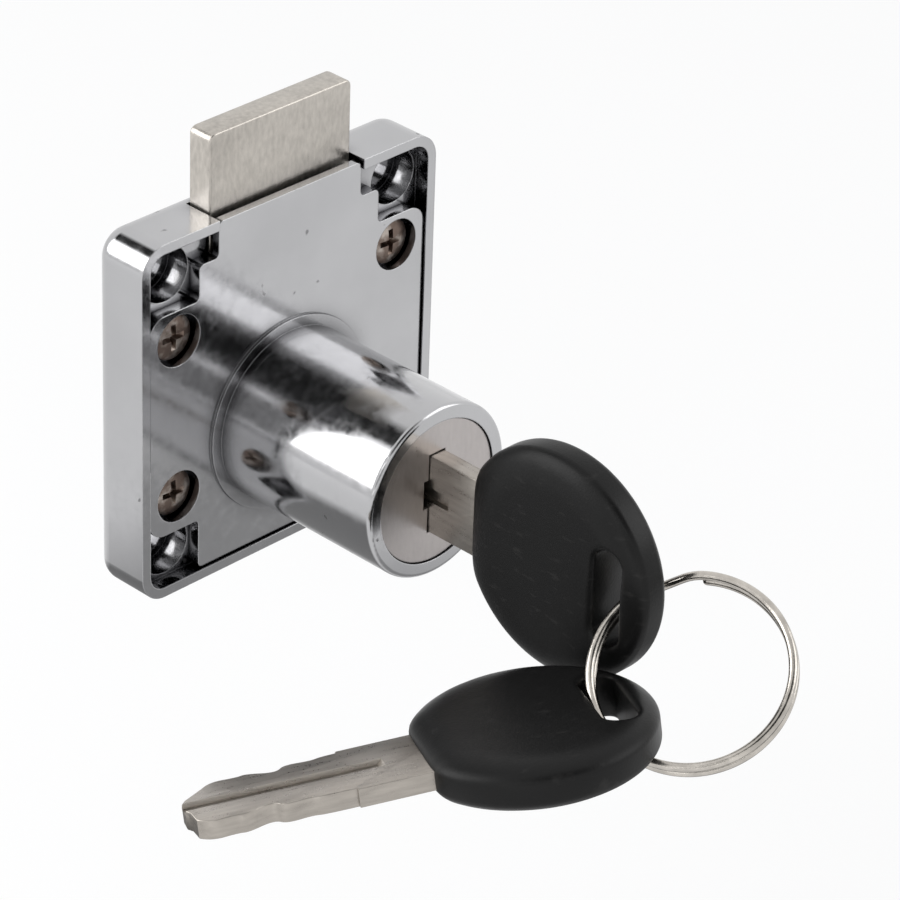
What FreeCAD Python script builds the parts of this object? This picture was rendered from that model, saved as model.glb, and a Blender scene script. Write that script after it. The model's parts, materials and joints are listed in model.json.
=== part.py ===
"""Cabinet lock with a square case, a round barrel, a sliding bolt and two keys on a split ring.

Frame: millimetres, X to the right, Y from the barrel's end to the case's back, Z up.
The origin lies on the barrel's axis, in the plane of the case's front rim.
"""
import FreeCAD
import Part
import math
import os
import Sketcher
from FreeCAD import Matrix, Placement, Rotation, Vector

# Driving dimensions: name, millimetres (or degrees, or a count), what it is
SIZES = (
    ("case_width", 40.0, "case, left to right"),
    ("case_height", 40.0, "case, bottom to top"),
    ("case_depth", 7.0, "case, front rim to back face"),
    ("case_corner", 3.0, "corner radius of the case seen from the front"),
    ("case_back_round", 2.0, "rounding of the back edges"),
    ("case_rim", 1.1, "thickness of the rim round the cover"),
    ("axis_drop", 5.2, "barrel axis below the middle of the case"),
    ("cover_sink", 0.3, "cover face behind the rim"),
    ("cover_plate", 1.4, "thickness of the cover plate"),
    ("cover_gap", 0.15, "gap between the cover and the rim"),
    ("waist_half", 12.2, "half width of the cover between its lobes"),
    ("lobe_top", 11.9, "upper edge of the upper lobes above the case middle"),
    ("lobe_low", 13.1, "lower edge of the lobes below the case middle"),
    ("tab_root", 15.8, "where the cover's top tab starts, above the case middle"),
    ("tab_plate", 0.9, "thickness of the cover's top tab"),
    ("lobe_round", 2.0, "corner radius of the lobes"),
    ("small_round", 0.6, "radius of the cover's small corners"),
    ("mount_pitch", 31.0, "spacing of the corner screw holes, both ways"),
    ("mount_bore", 2.1, "radius of the corner screw holes"),
    ("mount_pit", 3.0, "radius of the pits for the screw heads"),
    ("mount_web", 2.5, "metal left behind the pits"),
    ("cover_screw_x", 14.9, "cover screws left and right of the axis"),
    ("cover_screw_high", 8.5, "upper cover screws above the case middle"),
    ("cover_screw_low", 9.2, "lower cover screws below the case middle"),
    ("screw_head", 2.5, "radius of the cover screws' heads"),
    ("screw_head_tall", 0.9, "height of the cover screws' heads"),
    ("screw_sink", 0.7, "screw heads behind the cover face"),
    ("screw_head_gap", 0.3, "clearance round the screw heads"),
    ("screw_shank", 1.15, "radius of the cover screws' shanks"),
    ("screw_reach", 3.6, "length of the shanks under the heads"),
    ("cross_long", 2.9, "length of the cross recess"),
    ("cross_wide", 0.6, "width of the cross recess"),
    ("cross_deep", 0.55, "depth of the cross recess"),
    ("boss_radius", 3.1, "locating bosses behind the cover screws"),
    ("boss_tall", 0.9, "height of the locating bosses"),
    ("fit_gap", 0.1, "clearance beside pieces that drop in"),
    ("pocket_web", 2.1, "metal left behind the side pockets and the bolt"),
    ("pocket_half", 4.6, "half height of the side pockets"),
    ("barrel_radius", 9.4, "outside radius of the barrel"),
    ("barrel_reach", 21.0, "barrel end in front of the rim plane"),
    ("barrel_end_round", 0.5, "rounding of the barrel's end"),
    ("collar_radius", 10.6, "ring at the foot of the barrel, level with the rim"),
    ("plug_radius", 6.5, "plug body"),
    ("plug_gap", 0.08, "running clearance of the plug, on the radius"),
    ("flange_radius", 7.7, "plug flange"),
    ("flange_thick", 1.8, "thickness of the plug flange"),
    ("flange_sink", 0.2, "plug face behind the barrel's end"),
    ("face_gap", 0.05, "gap before and behind the turning and sliding pieces"),
    ("crank_radius", 4.2, "crank pin from the barrel axis"),
    ("crank_pin", 1.25, "radius of the crank pin"),
    ("bolt_width", 19.0, "bolt, left to right"),
    ("bolt_thick", 3.0, "bolt, front to back"),
    ("bolt_foot", 0.5, "gap under the bolt when it is drawn in"),
    ("bolt_corner", 1.0, "corner radius of the bolt's end"),
    ("bolt_side_gap", 0.3, "gap beside the bolt"),
    ("wafer_count", 8, "number of wafers"),
    ("wafer_pitch", 1.8, "spacing of the wafers"),
    ("wafer_thick", 0.9, "thickness of a wafer"),
    ("wafer_width", 7.4, "width of a wafer"),
    ("wafer_end_gap", 0.05, "wafer ends inside the plug's surface"),
    ("wafer_first", 3.4, "first wafer behind the plug face"),
    ("wafer_travel", 1.2, "how far a wafer moves when the key leaves"),
    ("window_half", 1.35, "half width of the window in a wafer"),
    ("window_near", 4.45, "window edge on the side that the wafer moves away from"),
    ("window_far", 5.3, "window edge on the side that the key bears on"),
    ("lug_reach", 1.2, "side lug of a wafer"),
    ("lug_thick", 1.0, "thickness of the side lug"),
    ("spring_radius", 0.55, "outside radius of a wafer spring"),
    ("spring_wire", 0.2, "wall of a wafer spring"),
    ("spring_length", 2.4, "length of a wafer spring when pressed"),
    ("clip_radius", 7.4, "outside radius of the retainer clip"),
    ("clip_groove", 5.6, "groove radius under the retainer clip"),
    ("clip_thick", 0.6, "thickness of the retainer clip"),
    ("clip_mouth", 5.0, "opening of the retainer clip"),
    ("blade_thick", 2.0, "thickness of the key blade"),
    ("shank_wide", 8.66, "width of the key's shank"),
    ("blade_wide", 8.0, "width of the bitted blade at its lands"),
    ("blade_reach", 16.6, "bitted blade behind the plug face"),
    ("tip_wide", 2.2, "width of the blade's tip"),
    ("tip_long", 2.6, "length of the tapered tip"),
    ("tip_gap", 0.6, "room behind the key's tip"),
    ("keyway_gap", 0.12, "clearance round the blade in the keyway"),
    ("keyway_bulge", 0.6, "how far the keyway bulges to the left"),
    ("groove_wide", 1.6, "width of the groove along the blade"),
    ("groove_deep", 0.5, "depth of the groove along the blade"),
    ("head_start", 27.1, "near edge of the key head in front of the rim plane"),
    ("head_middle", 38.1, "centre of the key head in front of the rim plane"),
    ("head_radius", 12.05, "radius of the key head"),
    ("head_thick", 5.0, "thickness of the key head"),
    ("head_bevel", 3.4, "how far the rounding of the head's edge runs in"),
    ("head_edge", 1.6, "thickness of the head at its rim"),
    ("head_socket", 6.0, "how deep the shank sits in the head"),
    ("slot_from_middle", 7.6, "ring slot from the head's centre"),
    ("slot_wide", 3.4, "width of the ring slot"),
    ("slot_long", 10.4, "length of the ring slot"),
    ("slot_bevel", 0.8, "bevel round the ring slot"),
    ("ring_radius", 9.7, "mean radius of the split ring"),
    ("ring_wire", 0.45, "radius of the ring's wire"),
    ("ring_gap", 0.42, "gap between the ring's two turns"),
    ("ring_low", 2.16, "ring below the middle of the first key's slot"),
    ("ring_end_room", 3.83, "ring from the upper end of the second key's slot"),
    ("ring_side_room", 0.74, "ring beside the middle of the second key's slot"),
    ("key_overlap", 0.62, "wire between the keys, short of the radius of a head"),
)

# A pin on a circle runs ahead of an even slide by up to this share of the circle's radius
CRANK_LEAD = 0.211

# Cuts along the keys' edges, in millimetres, repeated over the wafers
BITTING = (0.5, 0.8, 0.4, 0.7)


class Size:
    """A length or a count: its number, and the formula that ties it to the sheet."""

    def __init__(self, number, formula):
        self.number = number
        self.formula = formula

    def __add__(self, other):
        other = as_size(other)
        return Size(self.number + other.number, f"({self.formula} + {other.formula})")

    def __sub__(self, other):
        other = as_size(other)
        return Size(self.number - other.number, f"({self.formula} - {other.formula})")

    def __mul__(self, other):
        other = as_size(other)
        return Size(self.number * other.number, f"({self.formula} * {other.formula})")

    def __truediv__(self, other):
        other = as_size(other)
        return Size(self.number / other.number, f"({self.formula} / {other.formula})")

    def __neg__(self):
        return Size(-self.number, f"(0 - {self.formula})")

    def __radd__(self, other):
        return as_size(other) + self

    def __rsub__(self, other):
        return as_size(other) - self

    def __rmul__(self, other):
        return as_size(other) * self


def as_size(value):
    if isinstance(value, Size):
        return value
    return Size(float(value), f"{float(value):g}")


class Sheet:
    """The driving dimensions as attributes, each tied to its cell."""

    def __init__(self, document):
        cells = document.addObject("Spreadsheet::Sheet", "Sizes")
        for row, (name, number, note) in enumerate(SIZES, start=1):
            cells.set(f"A{row}", name)
            cells.set(f"B{row}", f"{number:g}")
            cells.setAlias(f"B{row}", name)
            cells.set(f"C{row}", note)
            setattr(self, name, Size(number, f"Sizes.{name}"))


doc = FreeCAD.newDocument("cabinet_lock")
S = Sheet(doc)
doc.recompute()

# Places that several pieces share
case_half = S.case_width / 2
case_top = S.axis_drop + S.case_height / 2
case_low = S.axis_drop - S.case_height / 2
seat_y = S.cover_sink + S.cover_plate
seat_half = case_half - S.case_rim
seat_top = case_top - S.case_rim
seat_low = case_low + S.case_rim
cover_half = seat_half - S.cover_gap
bolt_front = seat_y + S.fit_gap
bolt_back = bolt_front + S.bolt_thick
channel_floor = bolt_back + S.fit_gap
channel_half = S.bolt_width / 2 + S.bolt_side_gap
bolt_throw = S.crank_radius * 2
bolt_top = case_top + bolt_throw
bolt_low = seat_low + S.bolt_foot + bolt_throw
screw_high = S.axis_drop + S.cover_screw_high
screw_low = S.axis_drop - S.cover_screw_low
screw_seat = S.cover_sink + S.screw_sink + S.screw_head_tall
barrel_end = -S.barrel_reach
plug_face = barrel_end + S.flange_sink
flange_back = plug_face + S.flange_thick
bore_radius = S.plug_radius + S.plug_gap
clip_front = -S.fit_gap
plug_back = seat_y - S.fit_gap
wafer_half_slot = S.wafer_thick / 2 + S.face_gap
lug_side = S.wafer_width / 2
blade_half = S.blade_thick / 2
keyway_half_wide = blade_half + S.keyway_gap
keyway_half_tall = S.shank_wide / 2 + S.keyway_gap
blade_tip = plug_face + S.blade_reach
head_half = S.head_thick / 2
sub_parts = []


def bind(thing, **formulas):
    """Tie properties to sizes; a double underscore stands for a dot."""
    for name, size in formulas.items():
        thing.setExpression(name.replace("__", "."), as_size(size).formula)


def keep(thing, label):
    """Name a finished sub-part, which also names its file."""
    thing.Label = label
    sub_parts.append(thing)
    return thing


# Sketches
class Outline:
    """A sketch in a body that stands at a given depth, drawn with sizes."""

    def __init__(self, body, name, depth):
        self.sketch = body.newObject("Sketcher::SketchObject", name)
        front = [item for item in body.Origin.OriginFeatures if item.Role == "XZ_Plane"][0]
        self.sketch.AttachmentSupport = [(front, "")]
        self.sketch.MapMode = "FlatFace"
        bind(self.sketch, AttachmentOffset__Base__z=-as_size(depth))

    def hold(self, *constraint, size=None):
        index = self.sketch.addConstraint(Sketcher.Constraint(*constraint))
        if size is not None:
            self.sketch.setExpression(f"Constraints[{index}]", size.formula)

    def circle(self, across, up, radius):
        """A circle at (across, up); give None for both to centre it on the origin."""
        centre = Vector(0, 0, 0)
        if across is not None:
            centre = Vector(across.number, up.number, 0)
        index = self.sketch.addGeometry(Part.Circle(centre, Vector(0, 0, 1), radius.number))
        self.hold("Radius", index, radius.number, size=radius)
        if across is None:
            self.hold("Coincident", index, 3, -1, 1)
        else:
            self.hold("DistanceX", -1, 1, index, 3, across.number, size=across)
            self.hold("DistanceY", -1, 1, index, 3, up.number, size=up)

    def frame(self, sides):
        """Close a chain of upright and level lines, each with the rounding of its far corner.

        Each side is ("x", place, rounding) for an upright line or ("z", place, rounding) for a level one.
        """
        count = len(sides)
        corners = [self.corner(sides[i], sides[(i + 1) % count]) for i in range(count)]
        rounds = [0.0 if side[2] is None else side[2].number for side in sides]
        ways = [(corners[i] - corners[i - 1]).normalize() for i in range(count)]
        lines = []
        for i in range(count):
            start = corners[i - 1] + ways[i] * rounds[i - 1]
            end = corners[i] - ways[i] * rounds[i]
            lines.append(self.sketch.addGeometry(Part.LineSegment(start, end)))
        for i in range(count):
            kind, place, rounding = sides[i]
            following = lines[(i + 1) % count]
            self.hold("Vertical" if kind == "x" else "Horizontal", lines[i])
            distance = "DistanceX" if kind == "x" else "DistanceY"
            self.hold(distance, -1, 1, lines[i], 1, place.number, size=place)
            if rounding is None:
                self.hold("Coincident", lines[i], 2, following, 1)
                continue
            self.round_corner(lines[i], following, corners[i], ways[i], ways[(i + 1) % count], rounding)

    def corner(self, side, following):
        upright = side if side[0] == "x" else following
        level = following if side[0] == "x" else side
        return Vector(upright[1].number, level[1].number, 0)

    def round_corner(self, line, following, corner, way, next_way, rounding):
        radius = rounding.number
        centre = corner - way * radius + next_way * radius
        left_turn = way.cross(next_way).z > 0
        first = -next_way if left_turn else way
        start = math.atan2(first.y, first.x)
        circle = Part.Circle(centre, Vector(0, 0, 1), radius)
        arc = self.sketch.addGeometry(Part.ArcOfCircle(circle, start, start + math.pi / 2))
        near, far = (1, 2) if left_turn else (2, 1)
        self.hold("Tangent", line, 2, arc, near)
        self.hold("Tangent", arc, far, following, 1)
        self.hold("Radius", arc, radius, size=rounding)


def rectangle(outline, half_wide, low, high, rounding=None):
    outline.frame((("x", -half_wide, rounding), ("z", high, rounding),
                   ("x", half_wide, rounding), ("z", low, rounding)))


def feature(body, kind, name, outline, length):
    """A pad or a pocket from the outline towards the back (+Y)."""
    doc.recompute()
    before = body.Tip.Shape.Volume if kind == "Pocket" else 0.0
    made = body.newObject(f"PartDesign::{kind}", name)
    made.Profile = outline.sketch
    bind(made, Length=length)
    made.Reversed = kind == "Pad"
    doc.recompute()
    if kind == "Pocket" and not made.Shape.Volume < before - 0.01:
        raise RuntimeError(f"{name} cuts nothing")
    return made


def edges_at(shape, test):
    """Names of the edges whose ends and middle all pass the test."""
    names = []
    for index, edge in enumerate(shape.Edges, start=1):
        first, last = edge.ParameterRange
        points = [edge.valueAt(first + (last - first) * part) for part in (0.0, 0.5, 1.0)]
        if all(test(point) for point in points):
            names.append(f"Edge{index}")
    return names


def round_edges(body, name, radius, test):
    before = body.Tip
    names = edges_at(before.Shape, test)
    if not names:
        raise RuntimeError(f"{name} finds no edge")
    made = body.newObject("PartDesign::Fillet", name)
    made.Base = (before, names)
    bind(made, Radius=radius)
    doc.recompute()


def near(value, size, slack=0.01):
    return abs(value - size.number) < slack


# Solids from primitives
def block(name, across, depth, up):
    """A box between two places each way."""
    made = doc.addObject("Part::Box", name)
    bind(made, Length=across[1] - across[0], Width=depth[1] - depth[0], Height=up[1] - up[0])
    bind(made, Placement__Base__x=across[0], Placement__Base__y=depth[0], Placement__Base__z=up[0])
    return made


def disc(name, depth, radius, across=0, up=0):
    """A cylinder along the barrel's axis, between two depths."""
    made = doc.addObject("Part::Cylinder", name)
    made.Placement = Placement(Vector(0, 0, 0), Rotation(Vector(1, 0, 0), -90))
    bind(made, Radius=radius, Height=depth[1] - depth[0])
    bind(made, Placement__Base__x=across, Placement__Base__y=depth[0], Placement__Base__z=up)
    return made


def pin(name, across, depth, up, radius):
    """An upright cylinder."""
    made = doc.addObject("Part::Cylinder", name)
    bind(made, Radius=radius, Height=up[1] - up[0])
    bind(made, Placement__Base__x=across, Placement__Base__y=depth, Placement__Base__z=up[0])
    return made


def join(name, shapes):
    made = doc.addObject("Part::MultiFuse", name)
    made.Shapes = shapes
    return made


def cut(name, base, tools):
    made = doc.addObject("Part::Cut", name)
    made.Base = base
    made.Tool = tools[0] if len(tools) == 1 else join(f"{name}_tools", tools)
    return made


def common(name, shapes):
    made = doc.addObject("Part::MultiCommon", name)
    made.Shapes = shapes
    return made


def screw_places():
    """Middle of each cover screw, right and left, high and low."""
    return [(side * S.cover_screw_x, up) for side in (1, -1) for up in (screw_high, screw_low)]


def rear_case():
    body = doc.addObject("PartDesign::Body", "rear_case_body")
    shell = Outline(body, "case_outline", 0)
    rectangle(shell, case_half, case_low, case_top, S.case_corner)
    feature(body, "Pad", "case_block", shell, S.case_depth)
    round_edges(body, "case_back_edges", S.case_back_round, lambda point: near(point.y, S.case_depth))

    seat = Outline(body, "seat_outline", 0)
    rectangle(seat, seat_half, seat_low, seat_top, S.case_corner - S.case_rim)
    feature(body, "Pocket", "cover_seat", seat, seat_y)

    channel = Outline(body, "channel_outline", 0)
    rectangle(channel, channel_half, seat_low, case_top + S.case_rim)
    feature(body, "Pocket", "bolt_channel", channel, channel_floor)

    pits = Outline(body, "pit_outline", 0)
    bores = Outline(body, "mount_bore_outline", 0)
    for side in (1, -1):
        for rise in (1, -1):
            across = side * S.mount_pitch / 2
            up = S.axis_drop + rise * S.mount_pitch / 2
            pits.circle(across, up, S.mount_pit)
            bores.circle(across, up, S.mount_bore)
    feature(body, "Pocket", "mount_pits", pits, S.case_depth - S.mount_web)
    feature(body, "Pocket", "mount_bores", bores, S.case_depth + 1)

    sockets = Outline(body, "boss_socket_outline", 0)
    threads = Outline(body, "thread_outline", 0)
    for across, up in screw_places():
        sockets.circle(across, up, S.boss_radius + S.fit_gap)
        threads.circle(across, up, S.screw_shank + S.fit_gap / 2)
    feature(body, "Pocket", "boss_sockets", sockets, seat_y + S.boss_tall + S.fit_gap)
    feature(body, "Pocket", "screw_threads", threads, screw_seat + S.screw_reach + S.fit_gap)

    pockets = Outline(body, "side_pocket_outline", 0)
    pocket_middle = (screw_high + screw_low) / 2
    inner = channel_half + S.case_rim
    outer = seat_half - S.case_rim
    for side in (1, -1):
        pockets.frame((("x", side * inner, None), ("z", pocket_middle + S.pocket_half, None),
                       ("x", side * outer, None), ("z", pocket_middle - S.pocket_half, None)))
    feature(body, "Pocket", "side_pockets", pockets, S.case_depth - S.pocket_web)
    return keep(body, "rear_case")


def cover_outline(body):
    """The lobed plate: a tab at the top, a waist between the corner screw holes, and four lobes."""
    tab_half = channel_half - S.cover_gap
    waist = S.waist_half
    lobe_top = S.axis_drop + S.lobe_top
    lobe_low = S.axis_drop - S.lobe_low
    tab_top = case_top - S.cover_sink
    tab_root = S.axis_drop + S.tab_root
    small = S.small_round
    lobe = S.lobe_round
    right = [("x", tab_half, small), ("z", tab_root, small), ("x", waist, small),
             ("z", lobe_top, lobe), ("x", cover_half, lobe), ("z", lobe_low, small), ("x", waist, small)]
    left = [("x", -waist, small), ("z", lobe_low, lobe), ("x", -cover_half, lobe),
            ("z", lobe_top, small), ("x", -waist, small), ("z", tab_root, small), ("x", -tab_half, small)]
    plate = Outline(body, "plate_outline", S.cover_sink)
    plate.frame(right + [("z", seat_low + S.cover_gap, small)] + left + [("z", tab_top, small)])
    return plate


def front_cover():
    body = doc.addObject("PartDesign::Body", "front_cover_body")
    feature(body, "Pad", "plate", cover_outline(body), S.cover_plate)

    tab_back = Outline(body, "tab_back_outline", S.cover_sink + S.tab_plate)
    rectangle(tab_back, channel_half, S.axis_drop + S.tab_root, case_top + S.case_rim)
    feature(body, "Pocket", "tab_relief", tab_back, S.cover_plate)

    bosses = Outline(body, "boss_outline", seat_y)
    heads = Outline(body, "head_seat_outline", S.cover_sink)
    shanks = Outline(body, "shank_outline", S.cover_sink)
    for across, up in screw_places():
        bosses.circle(across, up, S.boss_radius)
        heads.circle(across, up, S.screw_head + S.screw_head_gap)
        shanks.circle(across, up, S.screw_shank + S.fit_gap * 2)
    feature(body, "Pad", "locating_bosses", bosses, S.boss_tall)

    barrel = Outline(body, "barrel_outline", barrel_end)
    barrel.circle(None, None, S.barrel_radius)
    feature(body, "Pad", "barrel", barrel, S.barrel_reach + S.cover_sink + S.cover_plate / 2)
    round_edges(body, "barrel_end_round", S.barrel_end_round, lambda point: near(point.y, barrel_end))
    collar = Outline(body, "collar_outline", 0)
    collar.circle(None, None, S.collar_radius)
    feature(body, "Pad", "collar", collar, S.cover_sink + S.cover_plate / 2)

    feature(body, "Pocket", "head_seats", heads, screw_seat - S.cover_sink)
    feature(body, "Pocket", "shank_holes", shanks, S.case_depth)
    bore = Outline(body, "bore_outline", barrel_end)
    bore.circle(None, None, bore_radius)
    feature(body, "Pocket", "bore", bore, S.barrel_reach + S.case_depth)
    recess = Outline(body, "flange_recess_outline", barrel_end)
    recess.circle(None, None, S.flange_radius + S.fit_gap)
    feature(body, "Pocket", "flange_recess", recess, S.flange_sink + S.flange_thick + S.face_gap)
    grooves = Outline(body, "wafer_groove_outline", plug_face + S.wafer_first - S.wafer_pitch / 2)
    groove_half = S.plug_radius + S.wafer_travel + S.fit_gap
    rectangle(grooves, lug_side + S.fit_gap, -groove_half, groove_half, S.small_round)
    feature(body, "Pocket", "wafer_grooves", grooves, S.wafer_pitch * S.wafer_count)
    clip_seat = Outline(body, "clip_seat_outline", clip_front - S.face_gap)
    clip_seat.circle(None, None, S.clip_radius + S.fit_gap)
    feature(body, "Pocket", "clip_seat", clip_seat, S.case_depth)
    return keep(body, "front_cover")


def cover_screws():
    """Four cross-head screws, each a solid of its own."""
    made = []
    head = (screw_seat - S.screw_head_tall, screw_seat)
    recess = (head[0] - S.fit_gap, head[0] + S.cross_deep)
    for number, (across, up) in enumerate(screw_places(), start=1):
        whole = join(f"screw_{number}_body",
                     [disc(f"screw_{number}_head", head, S.screw_head, across, up),
                      disc(f"screw_{number}_shank", (screw_seat, screw_seat + S.screw_reach),
                           S.screw_shank, across, up)])
        long_half = S.cross_long / 2
        slim_half = S.cross_wide / 2
        level = block(f"screw_{number}_level", (across - long_half, across + long_half), recess,
                      (up - slim_half, up + slim_half))
        upright = block(f"screw_{number}_upright", (across - slim_half, across + slim_half), recess,
                        (up - long_half, up + long_half))
        made.append(cut(f"screw_{number}", whole, [level, upright]))
    group = doc.addObject("Part::Compound", "cover_screw_group")
    group.Links = made
    return keep(group, "cover_screws")


def bolt():
    body = doc.addObject("PartDesign::Body", "bolt_body")
    outline = Outline(body, "bolt_outline", bolt_front)
    outline.frame((("x", -S.bolt_width / 2, S.bolt_corner), ("z", bolt_top, S.bolt_corner),
                   ("x", S.bolt_width / 2, None), ("z", bolt_low, None)))
    feature(body, "Pad", "bolt_plate", outline, S.bolt_thick)
    slot_half = S.crank_pin + S.crank_radius * CRANK_LEAD + S.fit_gap
    slot_reach = S.crank_radius + S.crank_pin + S.fit_gap
    slot = Outline(body, "crank_slot_outline", bolt_front)
    rectangle(slot, slot_reach, S.crank_radius - slot_half, S.crank_radius + slot_half, S.bolt_corner)
    feature(body, "Pocket", "crank_slot", slot, S.bolt_thick)
    return keep(body, "bolt")


def wafer_places():
    """Number, direction (1 up, -1 down) and middle depth of each wafer."""
    for index in range(int(S.wafer_count.number)):
        yield index + 1, 1 - 2 * (index % 2), plug_face + S.wafer_first + index * S.wafer_pitch


def between(first, second):
    """Two places, the lower one first."""
    return (first, second) if first.number < second.number else (second, first)


def plug():
    solids = [disc("plug_flange", (plug_face, flange_back), S.flange_radius),
              disc("plug_core", (flange_back, plug_back), S.plug_radius),
              disc("crank_pin", (plug_back, bolt_back), S.crank_pin, 0, S.crank_radius)]
    front = plug_face - S.fit_gap
    keyway_end = blade_tip + S.tip_gap
    tools = [block("keyway", (-keyway_half_wide, keyway_half_wide), (front, keyway_end),
                   (-keyway_half_tall, keyway_half_tall)),
             block("keyway_bulge", (-keyway_half_wide - S.keyway_bulge, -keyway_half_wide + S.keyway_gap),
                   (front, keyway_end), (-S.groove_wide, S.groove_wide))]
    slot_side = lug_side + S.fit_gap / 2
    lug_end = lug_side + S.lug_reach + S.fit_gap
    for number, way, middle in wafer_places():
        depth = (middle - wafer_half_slot, middle + wafer_half_slot)
        tools.append(block(f"wafer_slot_{number}", (-slot_side, slot_side), depth,
                           (-S.flange_radius, S.flange_radius)))
        spring_half = S.spring_radius + S.fit_gap / 2
        floor = between(way * -(S.spring_length + S.lug_thick / 2),
                        way * (S.lug_thick / 2 + S.wafer_travel + S.fit_gap))
        tools.append(block(f"spring_pocket_{number}", (slot_side - S.fit_gap, lug_end),
                           (middle - spring_half, middle + spring_half), floor))
    clip_room = (clip_front - S.face_gap, clip_front + S.clip_thick + S.face_gap)
    tools.append(cut("clip_groove", disc("clip_groove_outer", clip_room, S.flange_radius),
                     [disc("clip_groove_core", clip_room, S.clip_groove)]))
    return keep(cut("plug_solid", join("plug_body", solids), tools), "plug")


def retainer_clip():
    depth = (clip_front, clip_front + S.clip_thick)
    outer = disc("clip_outer", depth, S.clip_radius)
    inner = disc("clip_inner", depth, S.clip_groove + S.face_gap)
    mouth = block("clip_mouth", (-S.clip_mouth / 2, S.clip_mouth / 2), depth, (-S.clip_radius, as_size(0)))
    return keep(cut("clip_ring", outer, [inner, mouth]), "retainer_clip")


def wafers():
    half = S.plug_radius - S.wafer_end_gap
    for number, way, middle in wafer_places():
        depth = (middle - S.wafer_thick / 2, middle + S.wafer_thick / 2)
        plate = common(f"wafer_{number}_plate",
                       [block(f"wafer_{number}_block", (-lug_side, lug_side), depth, (-half, half)),
                        disc(f"wafer_{number}_disc", depth, half)])
        lug = block(f"wafer_{number}_lug", (lug_side - S.lug_thick / 2, lug_side + S.lug_reach), depth,
                    (-S.lug_thick / 2, S.lug_thick / 2))
        window = block(f"wafer_{number}_window", (-S.window_half, S.window_half), depth,
                       between(way * -S.window_far, way * S.window_near))
        keep(cut(f"wafer_{number}_solid", join(f"wafer_{number}_whole", [plate, lug]), [window]),
             f"wafer_{number}")


def wafer_springs():
    across = lug_side + S.fit_gap / 2 + S.spring_radius
    for number, way, middle in wafer_places():
        up = between(way * -(S.spring_length + S.lug_thick / 2), way * -(S.lug_thick / 2))
        outer = pin(f"spring_{number}_outer", across, middle, up, S.spring_radius)
        inner = pin(f"spring_{number}_inner", across, middle, up, S.spring_radius - S.spring_wire)
        keep(cut(f"spring_{number}_tube", outer, [inner]), f"wafer_spring_{number}")


# Keys
def edge_curve(side, start, end):
    """The bitted edge on one side, a smooth wave within the lands, with a cut over every second wafer."""
    land = S.blade_wide.number / 2
    points = [Vector(0, start, side * land)]
    for number, way, middle in wafer_places():
        if way == side:
            continue
        depth = BITTING[(number - 1) // 2 % len(BITTING)]
        points.append(Vector(0, middle.number - S.wafer_pitch.number / 2, side * land))
        points.append(Vector(0, middle.number, side * (land - depth)))
    points.append(Vector(0, end, side * (land - BITTING[0])))
    spaced = [points[0]]
    for point in points[1:]:
        if point.y - spaced[-1].y > S.wafer_pitch.number / 3:
            spaced.append(point)
    curve = Part.BSplineCurve()
    curve.buildFromPoles(spaced, False, 2)
    return curve.toShape()


def blade_shape():
    """Flat blade: a plain shank, two bitted edges, a tapered tip and a groove along the left face."""
    shank = S.shank_wide.number / 2
    tip = S.tip_wide.number / 2
    root = -S.head_start.number - S.head_socket.number
    shoulder = plug_face.number + S.flange_thick.number / 2
    taper = blade_tip.number - S.tip_long.number
    upper = edge_curve(1, shoulder, taper)
    lower = edge_curve(-1, shoulder, taper)

    def ends(edge):
        return edge.valueAt(edge.FirstParameter), edge.valueAt(edge.LastParameter)

    high_start, high_end = ends(upper)
    low_start, low_end = ends(lower)
    tip_high = Vector(0, blade_tip.number, tip)
    tip_low = Vector(0, blade_tip.number, -tip)
    straight = [(Vector(0, root, -shank), Vector(0, root, shank)),
                (Vector(0, root, shank), Vector(0, shoulder, shank)),
                (Vector(0, shoulder, shank), high_start), (high_end, tip_high), (tip_high, tip_low),
                (tip_low, low_end), (low_start, Vector(0, shoulder, -shank)),
                (Vector(0, shoulder, -shank), Vector(0, root, -shank))]
    edges = [Part.LineSegment(first, last).toShape() for first, last in straight] + [upper, lower]
    outline = Part.Face(Part.Wire(Part.__sortEdges__(edges)))
    outline.translate(Vector(-blade_half.number, 0, 0))
    blade = outline.extrude(Vector(S.blade_thick.number, 0, 0))
    groove_start = -S.head_start.number + S.flange_thick.number * 2
    corner = Vector(-blade_half.number - S.groove_deep.number, groove_start, -S.groove_wide.number / 2)
    groove = Part.makeBox(S.groove_deep.number * 2, blade_tip.number - groove_start + 1,
                          S.groove_wide.number, corner)
    return blade.cut(groove)


def head_profile():
    """Half section of the head in the XY plane: flat faces, rounded towards a blunt rim."""
    middle = -S.head_middle.number
    half = head_half.number
    rim = S.head_edge.number / 2
    flat = S.head_radius.number - S.head_bevel.number

    def quarter(side):
        """The rounding on one side, and its ends at the rim and at the flat face."""
        centre = Vector(side * rim, middle + flat, 0)
        at_rim = centre + Vector(0, S.head_bevel.number, 0)
        at_face = centre + Vector(side * (half - rim), 0, 0)
        ellipse = Part.Ellipse(at_rim, at_face, centre)
        return Part.ArcOfEllipse(ellipse, 0, math.pi / 2).toShape(), at_rim, at_face

    right, right_rim, right_flat = quarter(1)
    left, left_rim, left_flat = quarter(-1)
    foot_right = Vector(half, middle, 0)
    foot_left = Vector(-half, middle, 0)
    straight = [(foot_left, foot_right), (foot_right, right_flat),
                (right_rim, left_rim), (left_flat, foot_left)]
    edges = [Part.LineSegment(first, last).toShape() for first, last in straight] + [right, left]
    return Part.Face(Part.Wire(Part.__sortEdges__(edges)))


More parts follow.
